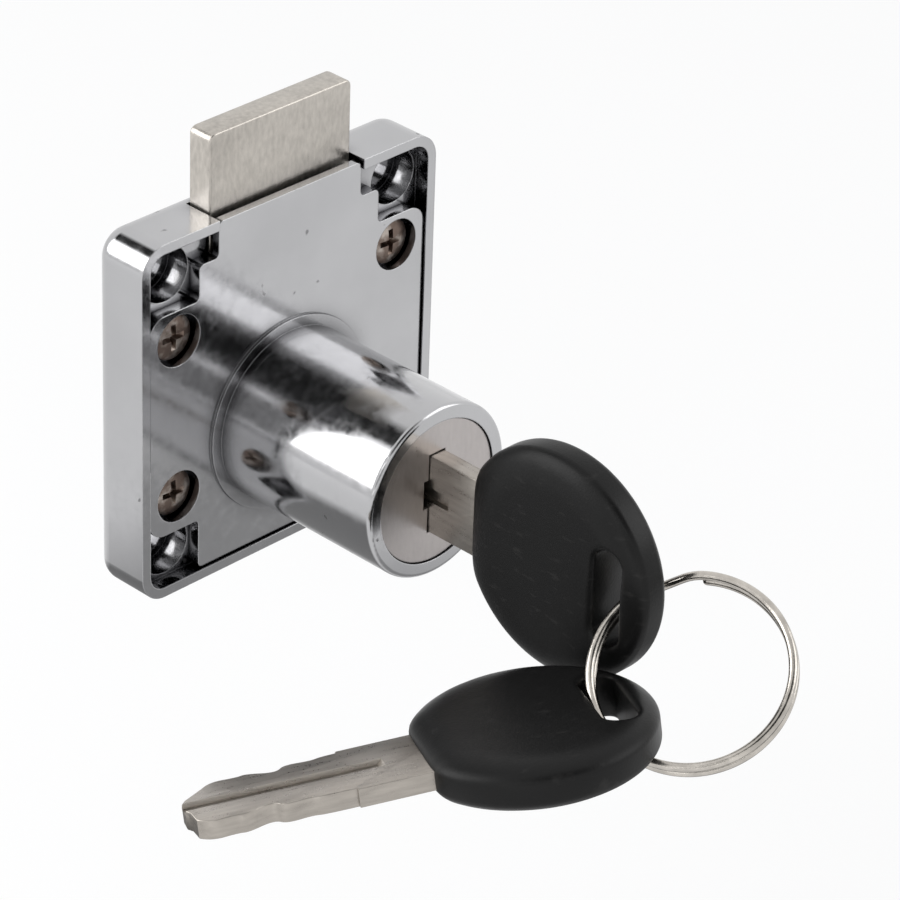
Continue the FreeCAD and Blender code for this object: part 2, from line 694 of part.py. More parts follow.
def slot_outline(across, spread):
    """The slot's outline at a place along X, wider by spread all round."""
    middle = -S.head_middle.number - S.slot_from_middle.number
    radius = S.slot_wide.number / 2 + spread
    straight = (S.slot_long.number - S.slot_wide.number) / 2
    corners = [Vector(across, middle + side * radius, end * straight)
               for end in (1, -1) for side in (1, -1)]
    tops = [Vector(across, middle, end * (straight + radius)) for end in (1, -1)]
    return Part.Wire([Part.Arc(corners[1], tops[0], corners[0]).toShape(),
                      Part.LineSegment(corners[0], corners[2]).toShape(),
                      Part.Arc(corners[2], tops[1], corners[3]).toShape(),
                      Part.LineSegment(corners[3], corners[1]).toShape()])


def slot_tool():
    """The slot through the head, widened by a bevel at both faces."""
    bevel = S.slot_bevel.number
    face = head_half.number
    stations = ((-face - bevel, 2 * bevel), (-face + bevel, 0.0),
                (face - bevel, 0.0), (face + bevel, 2 * bevel))
    return Part.makeLoft([slot_outline(across, spread) for across, spread in stations], True, True)


def head_shape():
    """Black moulded head: a thick round pad, cut off flat at the shank, with a slot for the ring."""
    middle = -S.head_middle.number
    head = head_profile().revolve(Vector(0, middle, 0), Vector(1, 0, 0), 360)
    reach = S.head_radius.number * 2
    start = -S.head_start.number
    head = head.cut(Part.makeBox(reach, reach, reach, Vector(-reach / 2, start, -reach / 2)))
    head = head.cut(slot_tool())
    socket_wide = S.shank_wide.number
    socket = Part.makeBox(S.blade_thick.number, S.head_socket.number + 1, socket_wide,
                          Vector(-blade_half.number, start - S.head_socket.number, -socket_wide / 2))
    return head.cut(socket)


def place_shape(label, shape, placement):
    made = doc.addObject("Part::Feature", f"{label}_solid")
    made.Shape = shape
    made.Placement = placement
    return keep(made, label)


# How the ring hangs in the first key: its axis, and the way from the key to the ring's middle
RING_AXIS = Vector(0.556, 0.249, -0.793)
RING_MIDDLE_WAY = Vector(0.017, -0.957, -0.289)

# How the second key hangs on the ring, as outwards, along the wire and along the ring's axis
KEY_2_END_WAY = Vector(-0.954, -0.082, 0.288)
KEY_2_SIDE_WAY = Vector(0.119, 0.778, 0.617)

# Degrees: half the stretch between the wire's ends, and where its middle lies from the first key
RING_HALF_SPLIT = 14.0
RING_SPLIT_FROM_KEY = 39.5

# Millimetres between the points on which the ring's own gap is measured
GAP_STEP = 0.4


def arc_on(start, way, end):
    """The arc from start, leaving along way, to end."""
    chord = end - start
    along = Vector(chord).normalize()
    side = way - along * way.dot(along)
    bulge = math.tan(math.acos(max(-1.0, min(1.0, way.dot(along)))) / 2)
    middle = (start + end) * 0.5 + Vector(side).normalize() * (chord.Length / 2 * bulge)
    return Part.Arc(start, middle, end)


def biarc(start, way, end, end_way):
    """Two arcs that leave along way and arrive along end_way without a kink."""
    span = end - start
    both = way + end_way
    spread = 2 * (1 - way.dot(end_way))
    reach = (-span.dot(both) + math.sqrt(span.dot(both) ** 2 + spread * span.dot(span))) / spread
    joint = (start + end + (way - end_way) * reach) * 0.5
    back = arc_on(end, -end_way, joint)
    return [arc_on(start, way, joint), back]


def ring_path():
    """Two flat turns, one above the other, joined by a short climb."""
    radius = S.ring_radius.number
    rise = S.ring_wire.number + S.ring_gap.number / 2

    def spot(turn, level):
        angle = math.radians(turn)
        return Vector(radius * math.cos(angle), radius * math.sin(angle), level)

    def heading(turn):
        angle = math.radians(turn)
        return Vector(-math.sin(angle), math.cos(angle), 0)

    pieces = []
    for level in (rise, -rise):
        for begin, finish in ((RING_HALF_SPLIT, 180), (180, 360 - RING_HALF_SPLIT)):
            halfway = (begin + finish) / 2
            pieces.append(Part.Arc(spot(begin, level), spot(halfway, level), spot(finish, level)))
    pieces += biarc(spot(-RING_HALF_SPLIT, rise), heading(-RING_HALF_SPLIT),
                    spot(RING_HALF_SPLIT, -rise), heading(RING_HALF_SPLIT))
    return Part.Wire(Part.__sortEdges__([piece.toShape() for piece in pieces]))


def self_gap(path, wire, apart):
    """Least gap between stretches of the wire that lie further apart than the given length."""
    points = path.discretize(Distance=GAP_STEP)
    step = path.Length / (len(points) - 1)
    skip = int(apart / step)
    least = min((points[i] - points[j]).Length
                for i in range(len(points)) for j in range(i + skip, len(points)))
    return least - 2 * wire


def ring_shape():
    path = ring_path()
    start = path.Vertexes[0].Point
    way = path.Edges[0].tangentAt(path.Edges[0].FirstParameter)
    section = Part.Wire(Part.makeCircle(S.ring_wire.number, start, way))
    tube = Part.BRepOffsetAPI.MakePipeShell(path)
    tube.add(section)
    tube.build()
    tube.makeSolid()
    shape = tube.shape()
    expected = math.pi * S.ring_wire.number ** 2 * path.Length
    gap = self_gap(path, S.ring_wire.number, S.ring_radius.number * 2)
    print(f"split ring: volume {shape.Volume:.2f} of {expected:.2f} mm3, own gap {gap:.2f} mm")
    return shape


def ring_axes(turn):
    """Outwards, along the wire and along the ring's axis, some degrees on from the first key."""
    axis = Vector(RING_AXIS).normalize()
    towards = Vector(RING_MIDDLE_WAY)
    towards = (towards - axis * towards.dot(axis)).normalize()
    outwards = Rotation(axis, turn).multVec(-towards)
    return outwards, axis.cross(outwards), axis


def ring_middle():
    in_slot = Vector(0, -S.head_middle.number - S.slot_from_middle.number, -S.ring_low.number)
    return in_slot - ring_axes(0)[0] * S.ring_radius.number


def ring_placement():
    return Placement(ring_middle(), Rotation(*ring_axes(RING_SPLIT_FROM_KEY), "XYZ"))


def second_key_placement():
    """Carry the first key's solids to where the second key hangs on the ring."""
    radius = S.ring_radius.number
    arc = S.head_radius.number - S.key_overlap.number
    outwards, along, axis = ring_axes(-math.degrees(arc / radius))
    ring_turn = Rotation(outwards, along, axis, "XYZ")
    end_way = ring_turn.multVec(KEY_2_END_WAY)
    side_way = ring_turn.multVec(KEY_2_SIDE_WAY)
    turned = Rotation(end_way, side_way, end_way.cross(side_way), "XYZ")
    own = Rotation(Vector(0, -1, 0), Vector(0, 0, 1), Vector(-1, 0, 0), "XYZ")
    rotation = turned * own.inverted()
    in_slot = Vector(0, -S.head_middle.number - S.slot_from_middle.number + S.ring_side_room.number,
                     S.slot_long.number / 2 - S.ring_end_room.number)
    return Placement(ring_middle() + outwards * radius - rotation.multVec(in_slot), rotation)


def keys_and_ring():
    blade = blade_shape()
    head = head_shape()
    second = second_key_placement()
    place_shape("key_1_blade", blade, Placement())
    place_shape("key_1_head", head, Placement())
    place_shape("split_ring", ring_shape(), ring_placement())
    place_shape("key_2_blade", blade, second)
    place_shape("key_2_head", head, second)


def check():
    """Stop if any object failed or any sub-part is empty or broken."""
    for item in doc.Objects:
        if "Invalid" in item.State or "Error" in item.State:
            raise RuntimeError(f"{item.Label} failed")
    for item in sub_parts:
        if item.Shape.isNull() or not item.Shape.isValid() or item.Shape.Volume <= 0:
            raise RuntimeError(f"{item.Label} has no sound shape")


rear_case()
front_cover()
cover_screws()
bolt()
plug()
retainer_clip()
wafers()
wafer_springs()
keys_and_ring()
doc.recompute()
check()
os.makedirs("parts", exist_ok=True)
for sub_part in sub_parts:
    sub_part.Shape.exportStep(f"parts/{sub_part.Label}.step")
print(f"{len(sub_parts)} sub-parts written")
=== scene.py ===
"""Looks for a cabinet lock with two keys on a split ring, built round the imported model."""
import json
import math

import bmesh
import bpy
from bpy.props import FloatProperty, FloatVectorProperty, IntProperty, PointerProperty
from mathutils import Matrix, Vector


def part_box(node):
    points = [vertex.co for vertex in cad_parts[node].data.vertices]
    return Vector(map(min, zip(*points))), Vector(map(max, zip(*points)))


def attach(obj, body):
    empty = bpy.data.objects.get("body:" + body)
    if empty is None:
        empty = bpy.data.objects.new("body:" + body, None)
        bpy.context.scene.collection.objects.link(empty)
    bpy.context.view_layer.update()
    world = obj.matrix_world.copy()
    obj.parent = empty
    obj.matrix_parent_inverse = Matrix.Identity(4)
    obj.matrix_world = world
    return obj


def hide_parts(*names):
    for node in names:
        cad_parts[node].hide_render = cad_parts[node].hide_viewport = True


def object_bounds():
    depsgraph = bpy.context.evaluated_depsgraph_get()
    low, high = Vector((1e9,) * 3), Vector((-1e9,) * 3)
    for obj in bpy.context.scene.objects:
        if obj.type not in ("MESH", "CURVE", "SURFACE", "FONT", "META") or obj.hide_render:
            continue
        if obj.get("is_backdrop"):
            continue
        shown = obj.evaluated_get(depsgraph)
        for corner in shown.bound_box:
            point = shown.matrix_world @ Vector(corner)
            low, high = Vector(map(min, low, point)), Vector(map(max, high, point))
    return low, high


bl_info = {
    "name": "Cabinet lock",
    "version": (1, 0, 0),
    "blender": (4, 5, 0),
    "location": "3D View > Sidebar > Cabinet lock",
    "description": "Chrome cabinet lock with a sliding bolt and two keys on a split ring",
    "category": "Object",
}

MM = 0.001
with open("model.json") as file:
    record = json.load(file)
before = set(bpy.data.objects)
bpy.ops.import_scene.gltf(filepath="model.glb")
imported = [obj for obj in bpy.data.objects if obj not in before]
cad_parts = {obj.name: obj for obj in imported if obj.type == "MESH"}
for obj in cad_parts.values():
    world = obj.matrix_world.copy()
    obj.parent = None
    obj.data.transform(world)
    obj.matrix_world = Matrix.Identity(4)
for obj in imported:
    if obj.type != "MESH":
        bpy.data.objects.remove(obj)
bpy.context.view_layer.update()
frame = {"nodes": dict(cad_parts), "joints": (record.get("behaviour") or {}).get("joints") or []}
joints = {joint["name"]: joint for joint in frame["joints"]}


def size(name, default, description):
    """A length in metres, given in millimetres."""
    return FloatProperty(name=name, description=description, default=default * MM, min=0.0,
                         precision=5, unit="LENGTH", subtype="DISTANCE")


def tone(name, colour, description):
    """A colour, in linear light."""
    return FloatVectorProperty(name=name, description=description, default=colour, min=0.0, max=1.0,
                               size=3, subtype="COLOR")


def share(name, default, description):
    """A number between nought and one."""
    return FloatProperty(name=name, description=description, default=default, min=0.0, max=1.0,
                         subtype="FACTOR")


def angle(name, degrees, description):
    """An angle in radians, given in degrees."""
    return FloatProperty(name=name, description=description, default=math.radians(degrees),
                         unit="ROTATION", subtype="ANGLE")


def power(name, watts, description):
    """The power of a lamp."""
    return FloatProperty(name=name, description=description, default=watts, min=0.0, unit="POWER")


def heading(name, way, description):
    """A direction, as shares outwards from the ring, along its wire and along its axis."""
    return FloatVectorProperty(name=name, description=description, default=way, size=3,
                               subtype="DIRECTION")


# Sizes and colours that a user may change
class MetalLooks(bpy.types.PropertyGroup):
    """Colours and roughness of the metals."""
    chrome: tone("Chrome", (0.49, 0.49, 0.50), "Colour of the plated case and barrel")
    nickel: tone("Nickel", (0.50, 0.47, 0.43), "Colour of the bolt and the ring")
    blade: tone("Blade", (0.40, 0.37, 0.335), "Colour of the keys' blades")
    plug: tone("Plug", (0.48, 0.45, 0.44), "Colour of the plug's face")
    bronze: tone("Bronze", (0.24, 0.18, 0.15), "Colour of the cover screws")
    rubbed: tone("Rubbed bronze", (0.45, 0.40, 0.36), "Colour of the cover screws where they are worn")
    # Painted shade: a dark tone painted into the castings' pits and corners, where little light reaches
    painted_pit_shade: tone("Painted_pit_shade", (0.05, 0.05, 0.055), "Tone in the pits and corners of the castings")
    brass: tone("Brass", (0.62, 0.46, 0.20), "Colour of the wafers")
    chrome_gloss: share("Chrome roughness", 0.13, "Roughness of the plated castings")
    nickel_gloss: share("Nickel roughness", 0.34, "Roughness of the brushed pieces")
    brass_gloss: share("Brass roughness", 0.3, "Roughness of the wafers")
    edge: size("Edge softness", 0.16, "How far the light runs round the castings' edges")
    pit_shade: size("Pit shade", 5.0, "How far a wall shades the casting beside it")


class PlasticLooks(bpy.types.PropertyGroup):
    """Colours and gloss of the key heads."""
    black: tone("Black", (0.005, 0.005, 0.005), "Colour of the key heads")
    scuffs: tone("Scuffs", (0.025, 0.024, 0.023), "Colour of the small scuffs on the key heads")
    gleam: share("Gleam", 0.2, "How strongly the key heads reflect")


class ScrewSizes(bpy.types.PropertyGroup):
    """The four small screws of the cover."""
    head: size("Head radius", 2.45, "Radius of a screw head")
    dome: size("Dome", 0.35, "Height of the domed part of the head")
    arm: size("Cross arm", 1.4, "Length of one arm of the cross")
    arm_width: size("Cross width", 0.62, "Width of one arm of the cross")
    depth: size("Cross depth", 0.75, "Depth of the cross")
    lip: size("Cross lip", 0.03, "How far the mouth of the cross sinks in")
    bottom: share("Cross bottom", 0.55, "Width of the cross at its bottom, against its mouth")
    rim: size("Rim", 0.9, "From the top of the head to its underside")
    side_room: size("Side room", 0.05, "How far the head stays inside the solid's own head")
    shank: size("Shank radius", 1.1, "Radius of the shank")
    point: size("Point", 0.3, "Length of the tapered end of the shank")
    point_room: size("Point room", 0.02, "How far the shank stops short of the solid's own end")
    point_width: share("Point width", 0.7, "Width of the shank at its end")


class BoltSizes(bpy.types.PropertyGroup):
    """The sliding bolt and the slot for the crank pin."""
    corner: size("Corner", 0.8, "Corner radius of the bolt's end")
    heel: size("Heel", 0.3, "Corner radius of the bolt's inner end")
    edge: size("Edge", 0.22, "Bevel along the bolt's edges")
    slot_reach: size("Slot reach", 5.55, "Half the length of the crank slot")
    slot_middle: size("Slot middle", 4.2, "Middle of the crank slot above the barrel's axis")
    slot_half: size("Slot height", 2.236, "Half the height of the crank slot")
    slot_corner: size("Slot corner", 1.0, "Corner radius of the crank slot")


class CoilSizes(bpy.types.PropertyGroup):
    """The springs beside the wafers."""
    wire: size("Wire", 0.16, "Thickness of the springs' wire")
    turns: IntProperty(name="Turns", description="Turns of a wafer spring", default=6, min=2, max=12)


class KeySizes(bpy.types.PropertyGroup):
    """Both keys, which are equal."""
    head_middle: size("Head centre", 38.1, "Centre of the head in front of the rim plane")
    head_radius: size("Head radius", 12.05, "Radius of the head")
    head_cut: size("Head cut", 11.0, "Flat end of the head, from its centre")
    head_corner: size("Head corner", 0.8, "Rounding where the flat end meets the round")
    head_thick: size("Head thickness", 5.0, "Thickness of the head")
    head_edge: size("Head edge", 1.6, "Height of the straight wall round the head")
    head_bevel: size("Head bevel", 3.4, "How far the rounding runs in from the edge")
    slot_out: size("Slot place", 7.6, "Ring slot from the head's centre")
    slot_width: size("Slot width", 3.4, "Width of the ring slot")
    slot_length: size("Slot length", 10.4, "Length of the ring slot")
    slot_round: size("Slot rounding", 0.55, "Rounding round the ring slot")
    blade_thick: size("Blade thickness", 2.0, "Thickness of the blade")
    shank_width: size("Shank width", 8.66, "Width of the plain part of the blade")
    blade_width: size("Blade width", 8.0, "Width of the blade at its lands")
    tip_width: size("Tip width", 2.2, "Width of the blade's tip")
    nose: size("Nose", 0.4, "How far the tip's corners are cut off")
    nose_slant: share("Nose slant", 0.6, "How steeply the sides run in before the tip's corners")
    blade_edge: size("Blade edge", 0.12, "Bevel along the blade's edges")
    root: size("Blade root", 33.1, "Inner end of the blade in the head, in front of the rim plane")
    shoulder: size("Blade shoulder", 19.9, "Start of the bitted part, in front of the rim plane")
    taper: size("Blade taper", 6.8, "Start of the tip, in front of the rim plane")
    tip: size("Blade tip", 4.2, "End of the tip, in front of the rim plane")
    first_wafer: size("First wafer", 17.4, "Cut for the first wafer, in front of the rim plane")
    wafer_pitch: size("Wafer pitch", 1.8, "From one wafer to the next")
    groove_start: size("Groove start", 23.5, "Start of the groove, in front of the rim plane")
    groove_width: size("Groove width", 1.6, "Width of the groove along the blade")
    groove_depth: size("Groove depth", 0.5, "Depth of the groove along the blade")
    groove_past: size("Groove run-out", 2.0, "How far the groove is cut on past the tip")
    groove_lean: share("Groove lean", 0.3, "How far the groove's sides lean, against its depth")


class RingSizes(bpy.types.PropertyGroup):
    """The split ring, and how the second key hangs on it."""
    radius: size("Radius", 9.7, "Mean radius of the ring")
    wire: size("Wire", 0.45, "Radius of the wire")
    gap: size("Gap", 0.42, "Gap between the two turns")
    half_split: angle("Half split", 14.0, "Half the stretch between the wire's ends")
    split_from_key: angle("Split place", 39.5, "Middle of the split, from the first key")
    key_arc: size("Wire between keys", 11.43, "Wire between the two keys")
    side_room: size("Side room", 0.74, "Ring beside the middle of the second key's slot")
    end_room: size("End room", 3.83, "Ring from the upper end of the second key's slot")
    key_end_way: heading("Key length", (-0.954, -0.082, 0.288), "Along the second key, towards the ring")
    key_side_way: heading("Key width", (0.119, 0.778, 0.617), "Across the second key")


class StageLooks(bpy.types.PropertyGroup):
    """Floor, lamps and cards."""
    floor_drop: size("Floor drop", 42.0, "Floor below the lowest point of the object")
    floor_half: size("Floor reach", 6000.0, "From the middle of the floor to its sides")
    floor: tone("Floor", (0.98, 0.98, 0.98), "Colour of the floor")
    floor_white: share("Floor white", 0.75, "Share of plain white in the floor, over its shadows")
    main_light: power("Main lamp", 2.2, "Power of the large soft lamp behind on the left")
    left_light: power("Left lamp", 1.3, "Power of the lamp in front on the left")
    right_light: power("Right lamp", 0.85, "Power of the lamp in front on the right")
    room: share("Room light", 0.62, "Strength of the light from all round")
    room_tint: tone("Room tint", (0.97, 0.98, 1.0), "Colour of the light from all round")
    card: tone("Cards", (0.02, 0.02, 0.02), "Colour of the dark studio cards")


class ViewSettings(bpy.types.PropertyGroup):
    """The camera."""
    place: FloatVectorProperty(name="Place", description="Where the camera stands", size=3,
                               default=(-0.284194, -0.293230, 0.237227), subtype="TRANSLATION",
                               unit="LENGTH")
    turn: angle("Turn", -46.39, "Direction of the view round the upright axis")
    tilt: angle("Tilt", 59.43, "Tilt from looking straight down")
    roll: angle("Roll", 2.08, "Roll about the line of sight")
    lens: FloatProperty(name="Lens", description="Focal length on a 36 mm sensor", default=187.08, min=1.0,
                        unit="CAMERA")


class LockSettings(bpy.types.PropertyGroup):
    """All the settings of the lock."""
    metal: PointerProperty(type=MetalLooks)
    plastic: PointerProperty(type=PlasticLooks)
    screws: PointerProperty(type=ScrewSizes)
    bolt: PointerProperty(type=BoltSizes)
    coils: PointerProperty(type=CoilSizes)
    key: PointerProperty(type=KeySizes)
    ring: PointerProperty(type=RingSizes)
    stage: PointerProperty(type=StageLooks)
    view: PointerProperty(type=ViewSettings)


# Shader maths
class Level:
    """A value in a material; arithmetic on it adds Math nodes."""

    def __init__(self, finish, socket):
        self.finish = finish
        self.socket = socket

    def combine(self, operation, first, second):
        """Add one Math node."""
        return self.finish.add("ShaderNodeMath", {"operation": operation}, {0: first, 1: second})

    def __add__(self, other):
        return self.combine("ADD", self, other)

    def __radd__(self, other):
        return self.combine("ADD", other, self)

    def __sub__(self, other):
        return self.combine("SUBTRACT", self, other)

    def __rsub__(self, other):
        return self.combine("SUBTRACT", other, self)

    def __mul__(self, other):
        return self.combine("MULTIPLY", self, other)

    def __rmul__(self, other):
        return self.combine("MULTIPLY", other, self)


class Shading:
    """A node tree that is built from expressions."""

    def __init__(self, owner):
        owner.use_nodes = True
        self.tree = owner.node_tree
        self.tree.nodes.clear()

    def add(self, kind, settings, inputs, output=0):
        """Add a node: its settings first, then the values or links of its sockets."""
        node = self.tree.nodes.new(kind)
        for name, value in settings.items():
            setattr(node, name, value)
        for name, value in inputs.items():
            if isinstance(value, Level):
                self.tree.links.new(value.socket, node.inputs[name])
            elif value is not None:
                node.inputs[name].default_value = value
        return Level(self, node.outputs[output]) if len(node.outputs) else None

    def remap(self, value, low, high, to_low=0.0, to_high=1.0):
        """Stretch a value from one range to another, and clip it there."""
        return self.add("ShaderNodeMapRange", {"clamp": True},
                        {"Value": value, "From Min": low, "From Max": high,
                         "To Min": to_low, "To Max": to_high})

    def seen(self):
        """One for what the eye, the gloss and the glass see directly."""
        path = [self.add("ShaderNodeLightPath", {}, {}, name)
                for name in ("Is Camera Ray", "Is Glossy Ray", "Is Transmission Ray")]
        return self.remap(path[0] + path[1] + path[2], 0.0, 1.0)

    def mix_shaders(self, factor, first, second):
        """The first shader at nought, the second one at one."""
        return self.add("ShaderNodeMixShader", {}, {0: factor, 1: first, 2: second})


class Finish(Shading):
    """One procedural material, worked out on the object's own coordinates."""

    def __init__(self, name):
        self.material = bpy.data.materials.new(name)
        super().__init__(self.material)

    def place(self, stretch):
        """The object's coordinates, stretched; they are in metres."""
        here = self.add("ShaderNodeTexCoord", {}, {}, "Object")
        return self.add("ShaderNodeMapping", {}, {"Vector": here, "Scale": stretch})

    def noise(self, scale, detail, stretch=(1.0, 1.0, 1.0)):
        """Cloudy noise between nought and one; the scale is in patches to the metre."""
        return self.add("ShaderNodeTexNoise", {}, {"Vector": self.place(stretch), "Scale": scale,
                                                   "Detail": detail}, "Fac")

    def openness(self, reach):
        """One where the surface lies open, towards nought in pits and corners."""
        return self.add("ShaderNodeAmbientOcclusion", {"samples": 8}, {"Distance": reach}, "AO")

    def mix(self, factor, first, second):
        """A colour between two colours; the node's colours are its sockets 6, 7 and 2."""
        return self.add("ShaderNodeMix", {"data_type": "RGBA"}, {0: factor, 6: first, 7: second}, 2)

    def clouded(self, value, low, high, colour, dark, light):
        """A darker shade of a colour at a value's low end, a lighter one at its high end."""
        return self.mix(self.remap(value, low, high), with_alpha(colour, dark), with_alpha(colour, light))

    def bump(self, height, depth, normal=None):
        """The normal of a surface whose height runs from nought to a depth in metres."""
        return self.add("ShaderNodeBump", {}, {"Height": height, "Strength": 1.0, "Distance": depth,
                                               "Normal": normal})

    def soft_edge(self, radius):
        """The normal, rounded over sharp edges."""
        return self.add("ShaderNodeBevel", {"samples": 4}, {"Radius": radius})

    def principled(self, **inputs):
        """The material with its main shader; the sockets' names have underscores for spaces."""
        names = {name.replace("_", " "): value for name, value in inputs.items()}
        return self.close(self.add("ShaderNodeBsdfPrincipled", {}, names))

    def close(self, shader):
        """Make a shader the material's surface."""
        self.add("ShaderNodeOutputMaterial", {}, {"Surface": shader})
        return self.material


def with_alpha(colour, factor=1.0):
    """A colour for a socket, made lighter or darker."""
    return (*[min(1.0, channel * factor) for channel in colour], 1.0)


def chrome_finish(looks):
    """Bright plating on a cast surface: faint ripples, cloudy polish, a few pores and painted shade in its
    pits and corners.
    """
    finish = Finish("chrome_plating")
    cloud = finish.noise(scale=70.0, detail=3.0)
    haze = finish.noise(scale=900.0, detail=4.0)
    pores = finish.remap(finish.noise(scale=650.0, detail=1.0), 0.76, 0.80)
    colour = finish.clouded(cloud, 0.35, 0.7, looks.chrome, 0.94, 1.05)
    colour = finish.mix(pores * 0.6, colour, with_alpha(looks.chrome, 0.25))
    # Painted shade: where ambient occlusion finds walls close by, the plating's colour darkens towards the
    # tone set for pits and corners
    lit = finish.remap(finish.openness(looks.pit_shade), 0.38, 0.80)
    colour = finish.mix(lit, with_alpha(looks.painted_pit_shade), colour)
    rough = finish.remap(haze, 0.3, 0.75, looks.chrome_gloss * 0.6, looks.chrome_gloss * 1.7) + pores * 0.25
    ripple = finish.noise(scale=160.0, detail=2.0) + haze * 0.03 - pores * 0.8
    normal = finish.bump(ripple, 0.014 * MM, finish.soft_edge(looks.edge))
    return finish.principled(Base_Color=colour, Metallic=1.0, Roughness=rough, Normal=normal)


def brushed_finish(name, colour, roughness, stretch, contrast=1.0, depth=0.02 * MM, edge=0.0):
    """Metal with fine lines along one direction and a slightly cloudy tone."""
    finish = Finish(name)
    lines = finish.noise(scale=2200.0, detail=3.0, stretch=stretch)
    cloud = finish.noise(scale=240.0, detail=4.0)
    grain = finish.noise(scale=4200.0, detail=2.0)
    shade = finish.clouded(lines * 0.6 + cloud * 0.4, 0.3, 0.7, colour,
                           1.0 - 0.16 * contrast, 1.0 + 0.14 * contrast)
    rough = finish.remap(lines * 0.5 + grain * 0.5, 0.3, 0.7, roughness * 0.8, roughness * 1.25)
    normal = finish.bump(lines * 0.7 + grain * 0.4, depth, finish.soft_edge(edge) if edge else None)
    return finish.principled(Base_Color=shade, Metallic=1.0, Roughness=rough, Normal=normal)


def bronze_finish(looks):
    """Dark screw heads, rubbed lighter here and there."""
    finish = Finish("bronze_screws")
    rubbed = finish.remap(finish.noise(scale=700.0, detail=5.0), 0.48, 0.66)
    colour = finish.mix(rubbed, with_alpha(looks.bronze, 0.7), with_alpha(looks.rubbed))
    rough = finish.remap(finish.noise(scale=1500.0, detail=3.0), 0.3, 0.7, 0.28, 0.5)
    normal = finish.bump(finish.noise(scale=2600.0, detail=3.0), 0.03 * MM)
    return finish.principled(Base_Color=colour, Metallic=1.0, Roughness=rough, Normal=normal)


def black_plastic_finish(looks):
    """Satin moulded plastic: fine spark texture, small scuffs that catch the light."""
    finish = Finish("black_plastic")
    grain = finish.noise(scale=3800.0, detail=3.0)
    cloud = finish.noise(scale=180.0, detail=4.0)
    scuffs = finish.remap(finish.noise(scale=420.0, detail=6.0, stretch=(1.0, 1.0, 3.0)), 0.60, 0.74)
    colour = finish.mix(scuffs * 0.5, with_alpha(looks.black), with_alpha(looks.scuffs))
    rough = finish.remap(cloud, 0.3, 0.7, 0.32, 0.42) + scuffs * 0.10
    normal = finish.bump(grain * 0.5 + cloud * 0.6 + scuffs * 0.1, 0.03 * MM)
    return finish.principled(Base_Color=colour, Roughness=rough, Normal=normal,
                             Specular_IOR_Level=looks.gleam)


def wire_finish(looks):
    """Drawn nickel wire, fairly bright, with dull patches."""
    finish = Finish("ring_wire")
    patches = finish.noise(scale=500.0, detail=4.0)
    colour = finish.clouded(patches, 0.35, 0.7, looks.nickel, 0.85, 1.25)
    rough = finish.remap(patches, 0.3, 0.7, 0.14, 0.30)
    normal = finish.bump(finish.noise(scale=2400.0, detail=2.0), 0.015 * MM)
    return finish.principled(Base_Color=colour, Metallic=1.0, Roughness=rough, Normal=normal)


# Into how many parts the curved shapes are divided
CORNER_STEPS = 6
CROSS_STEPS = 4
COIL_STEPS = 16
COIL_SIDES = 6
CUT_STEPS = 48
HEAD_SIDES = 200
RING_STEPS = 300
RING_SIDES = 14


# Meshes
def finished_piece(name, mesh, material, crease=35.0):
    """An object from a mesh, shaded smooth except over edges sharper than the crease, in degrees."""
    piece = bpy.data.objects.new(name, mesh)
    bpy.context.scene.collection.objects.link(piece)
    mesh.materials.clear()
    mesh.materials.append(material)
    mesh.shade_smooth()
    mesh.set_sharp_from_angle(angle=math.radians(crease))
    return piece


def mesh_from(name, vertices, faces):
    """A mesh from points and the faces between them."""
    mesh = bpy.data.meshes.new(name)
    mesh.from_pydata([tuple(vertex) for vertex in vertices], [], faces)
    mesh.validate()
    return mesh


def circle(count, start=0.0):
    """Directions all round, at even steps."""
    turns = [start + 2 * math.pi * step / count for step in range(count)]
    return [Vector((math.cos(turn), math.sin(turn))) for turn in turns]


def band(first, second, count):
    """Faces between two closed loops of points, given where each loop starts."""
    pairs = [(step, (step + 1) % count) for step in range(count)]
    return [(first + here, first + there, second + there, second + here) for here, there in pairs]


def caps(first, last, count):
    """The two faces that close a stack of loops."""
    return [tuple(reversed(range(first, first + count))), tuple(range(last, last + count))]


def turned_out(mesh, merge=0.0):
    """The mesh with its faces turned outwards, its points first merged within a distance."""
    work = bmesh.new()
    work.from_mesh(mesh)
    if merge:
        bmesh.ops.remove_doubles(work, verts=work.verts, dist=merge)
    bmesh.ops.recalc_face_normals(work, faces=work.faces)
    work.to_mesh(mesh)
    work.free()
    return mesh


def worked_out(holder):
    """The mesh that an object's curve or modifiers come to."""
    bpy.context.view_layer.update()
    return bpy.data.meshes.new_from_object(holder.evaluated_get(bpy.context.evaluated_depsgraph_get()))


def join_meshes(name, parts):
    """One mesh from several lists of (vertices, faces)."""
    vertices = []
    faces = []
    for part_vertices, part_faces in parts:
        start = len(vertices)
        vertices += part_vertices
        faces += [[start + index for index in face] for face in part_faces]
    return mesh_from(name, vertices, faces)


def rounded_outline(corners):
    """Points round a polygon whose corners are (point, radius)."""
    points = []
    count = len(corners)
    for index, (corner, radius) in enumerate(corners):
        corner = Vector(corner)
        if radius <= 0.0:
            points.append(corner)
            continue
        before = (Vector(corners[index - 1][0]) - corner).normalized()
        after = (Vector(corners[(index + 1) % count][0]) - corner).normalized()
        reach = radius / math.tan(before.angle(after) / 2)
        centre = corner + (before + after).normalized() * math.hypot(reach, radius)
        first = corner + before * reach - centre
        last = corner + after * reach - centre
        for step in range(CORNER_STEPS + 1):
            turned = first.normalized().slerp(last.normalized(), step / CORNER_STEPS)
            points.append(centre + turned * radius)
    return points


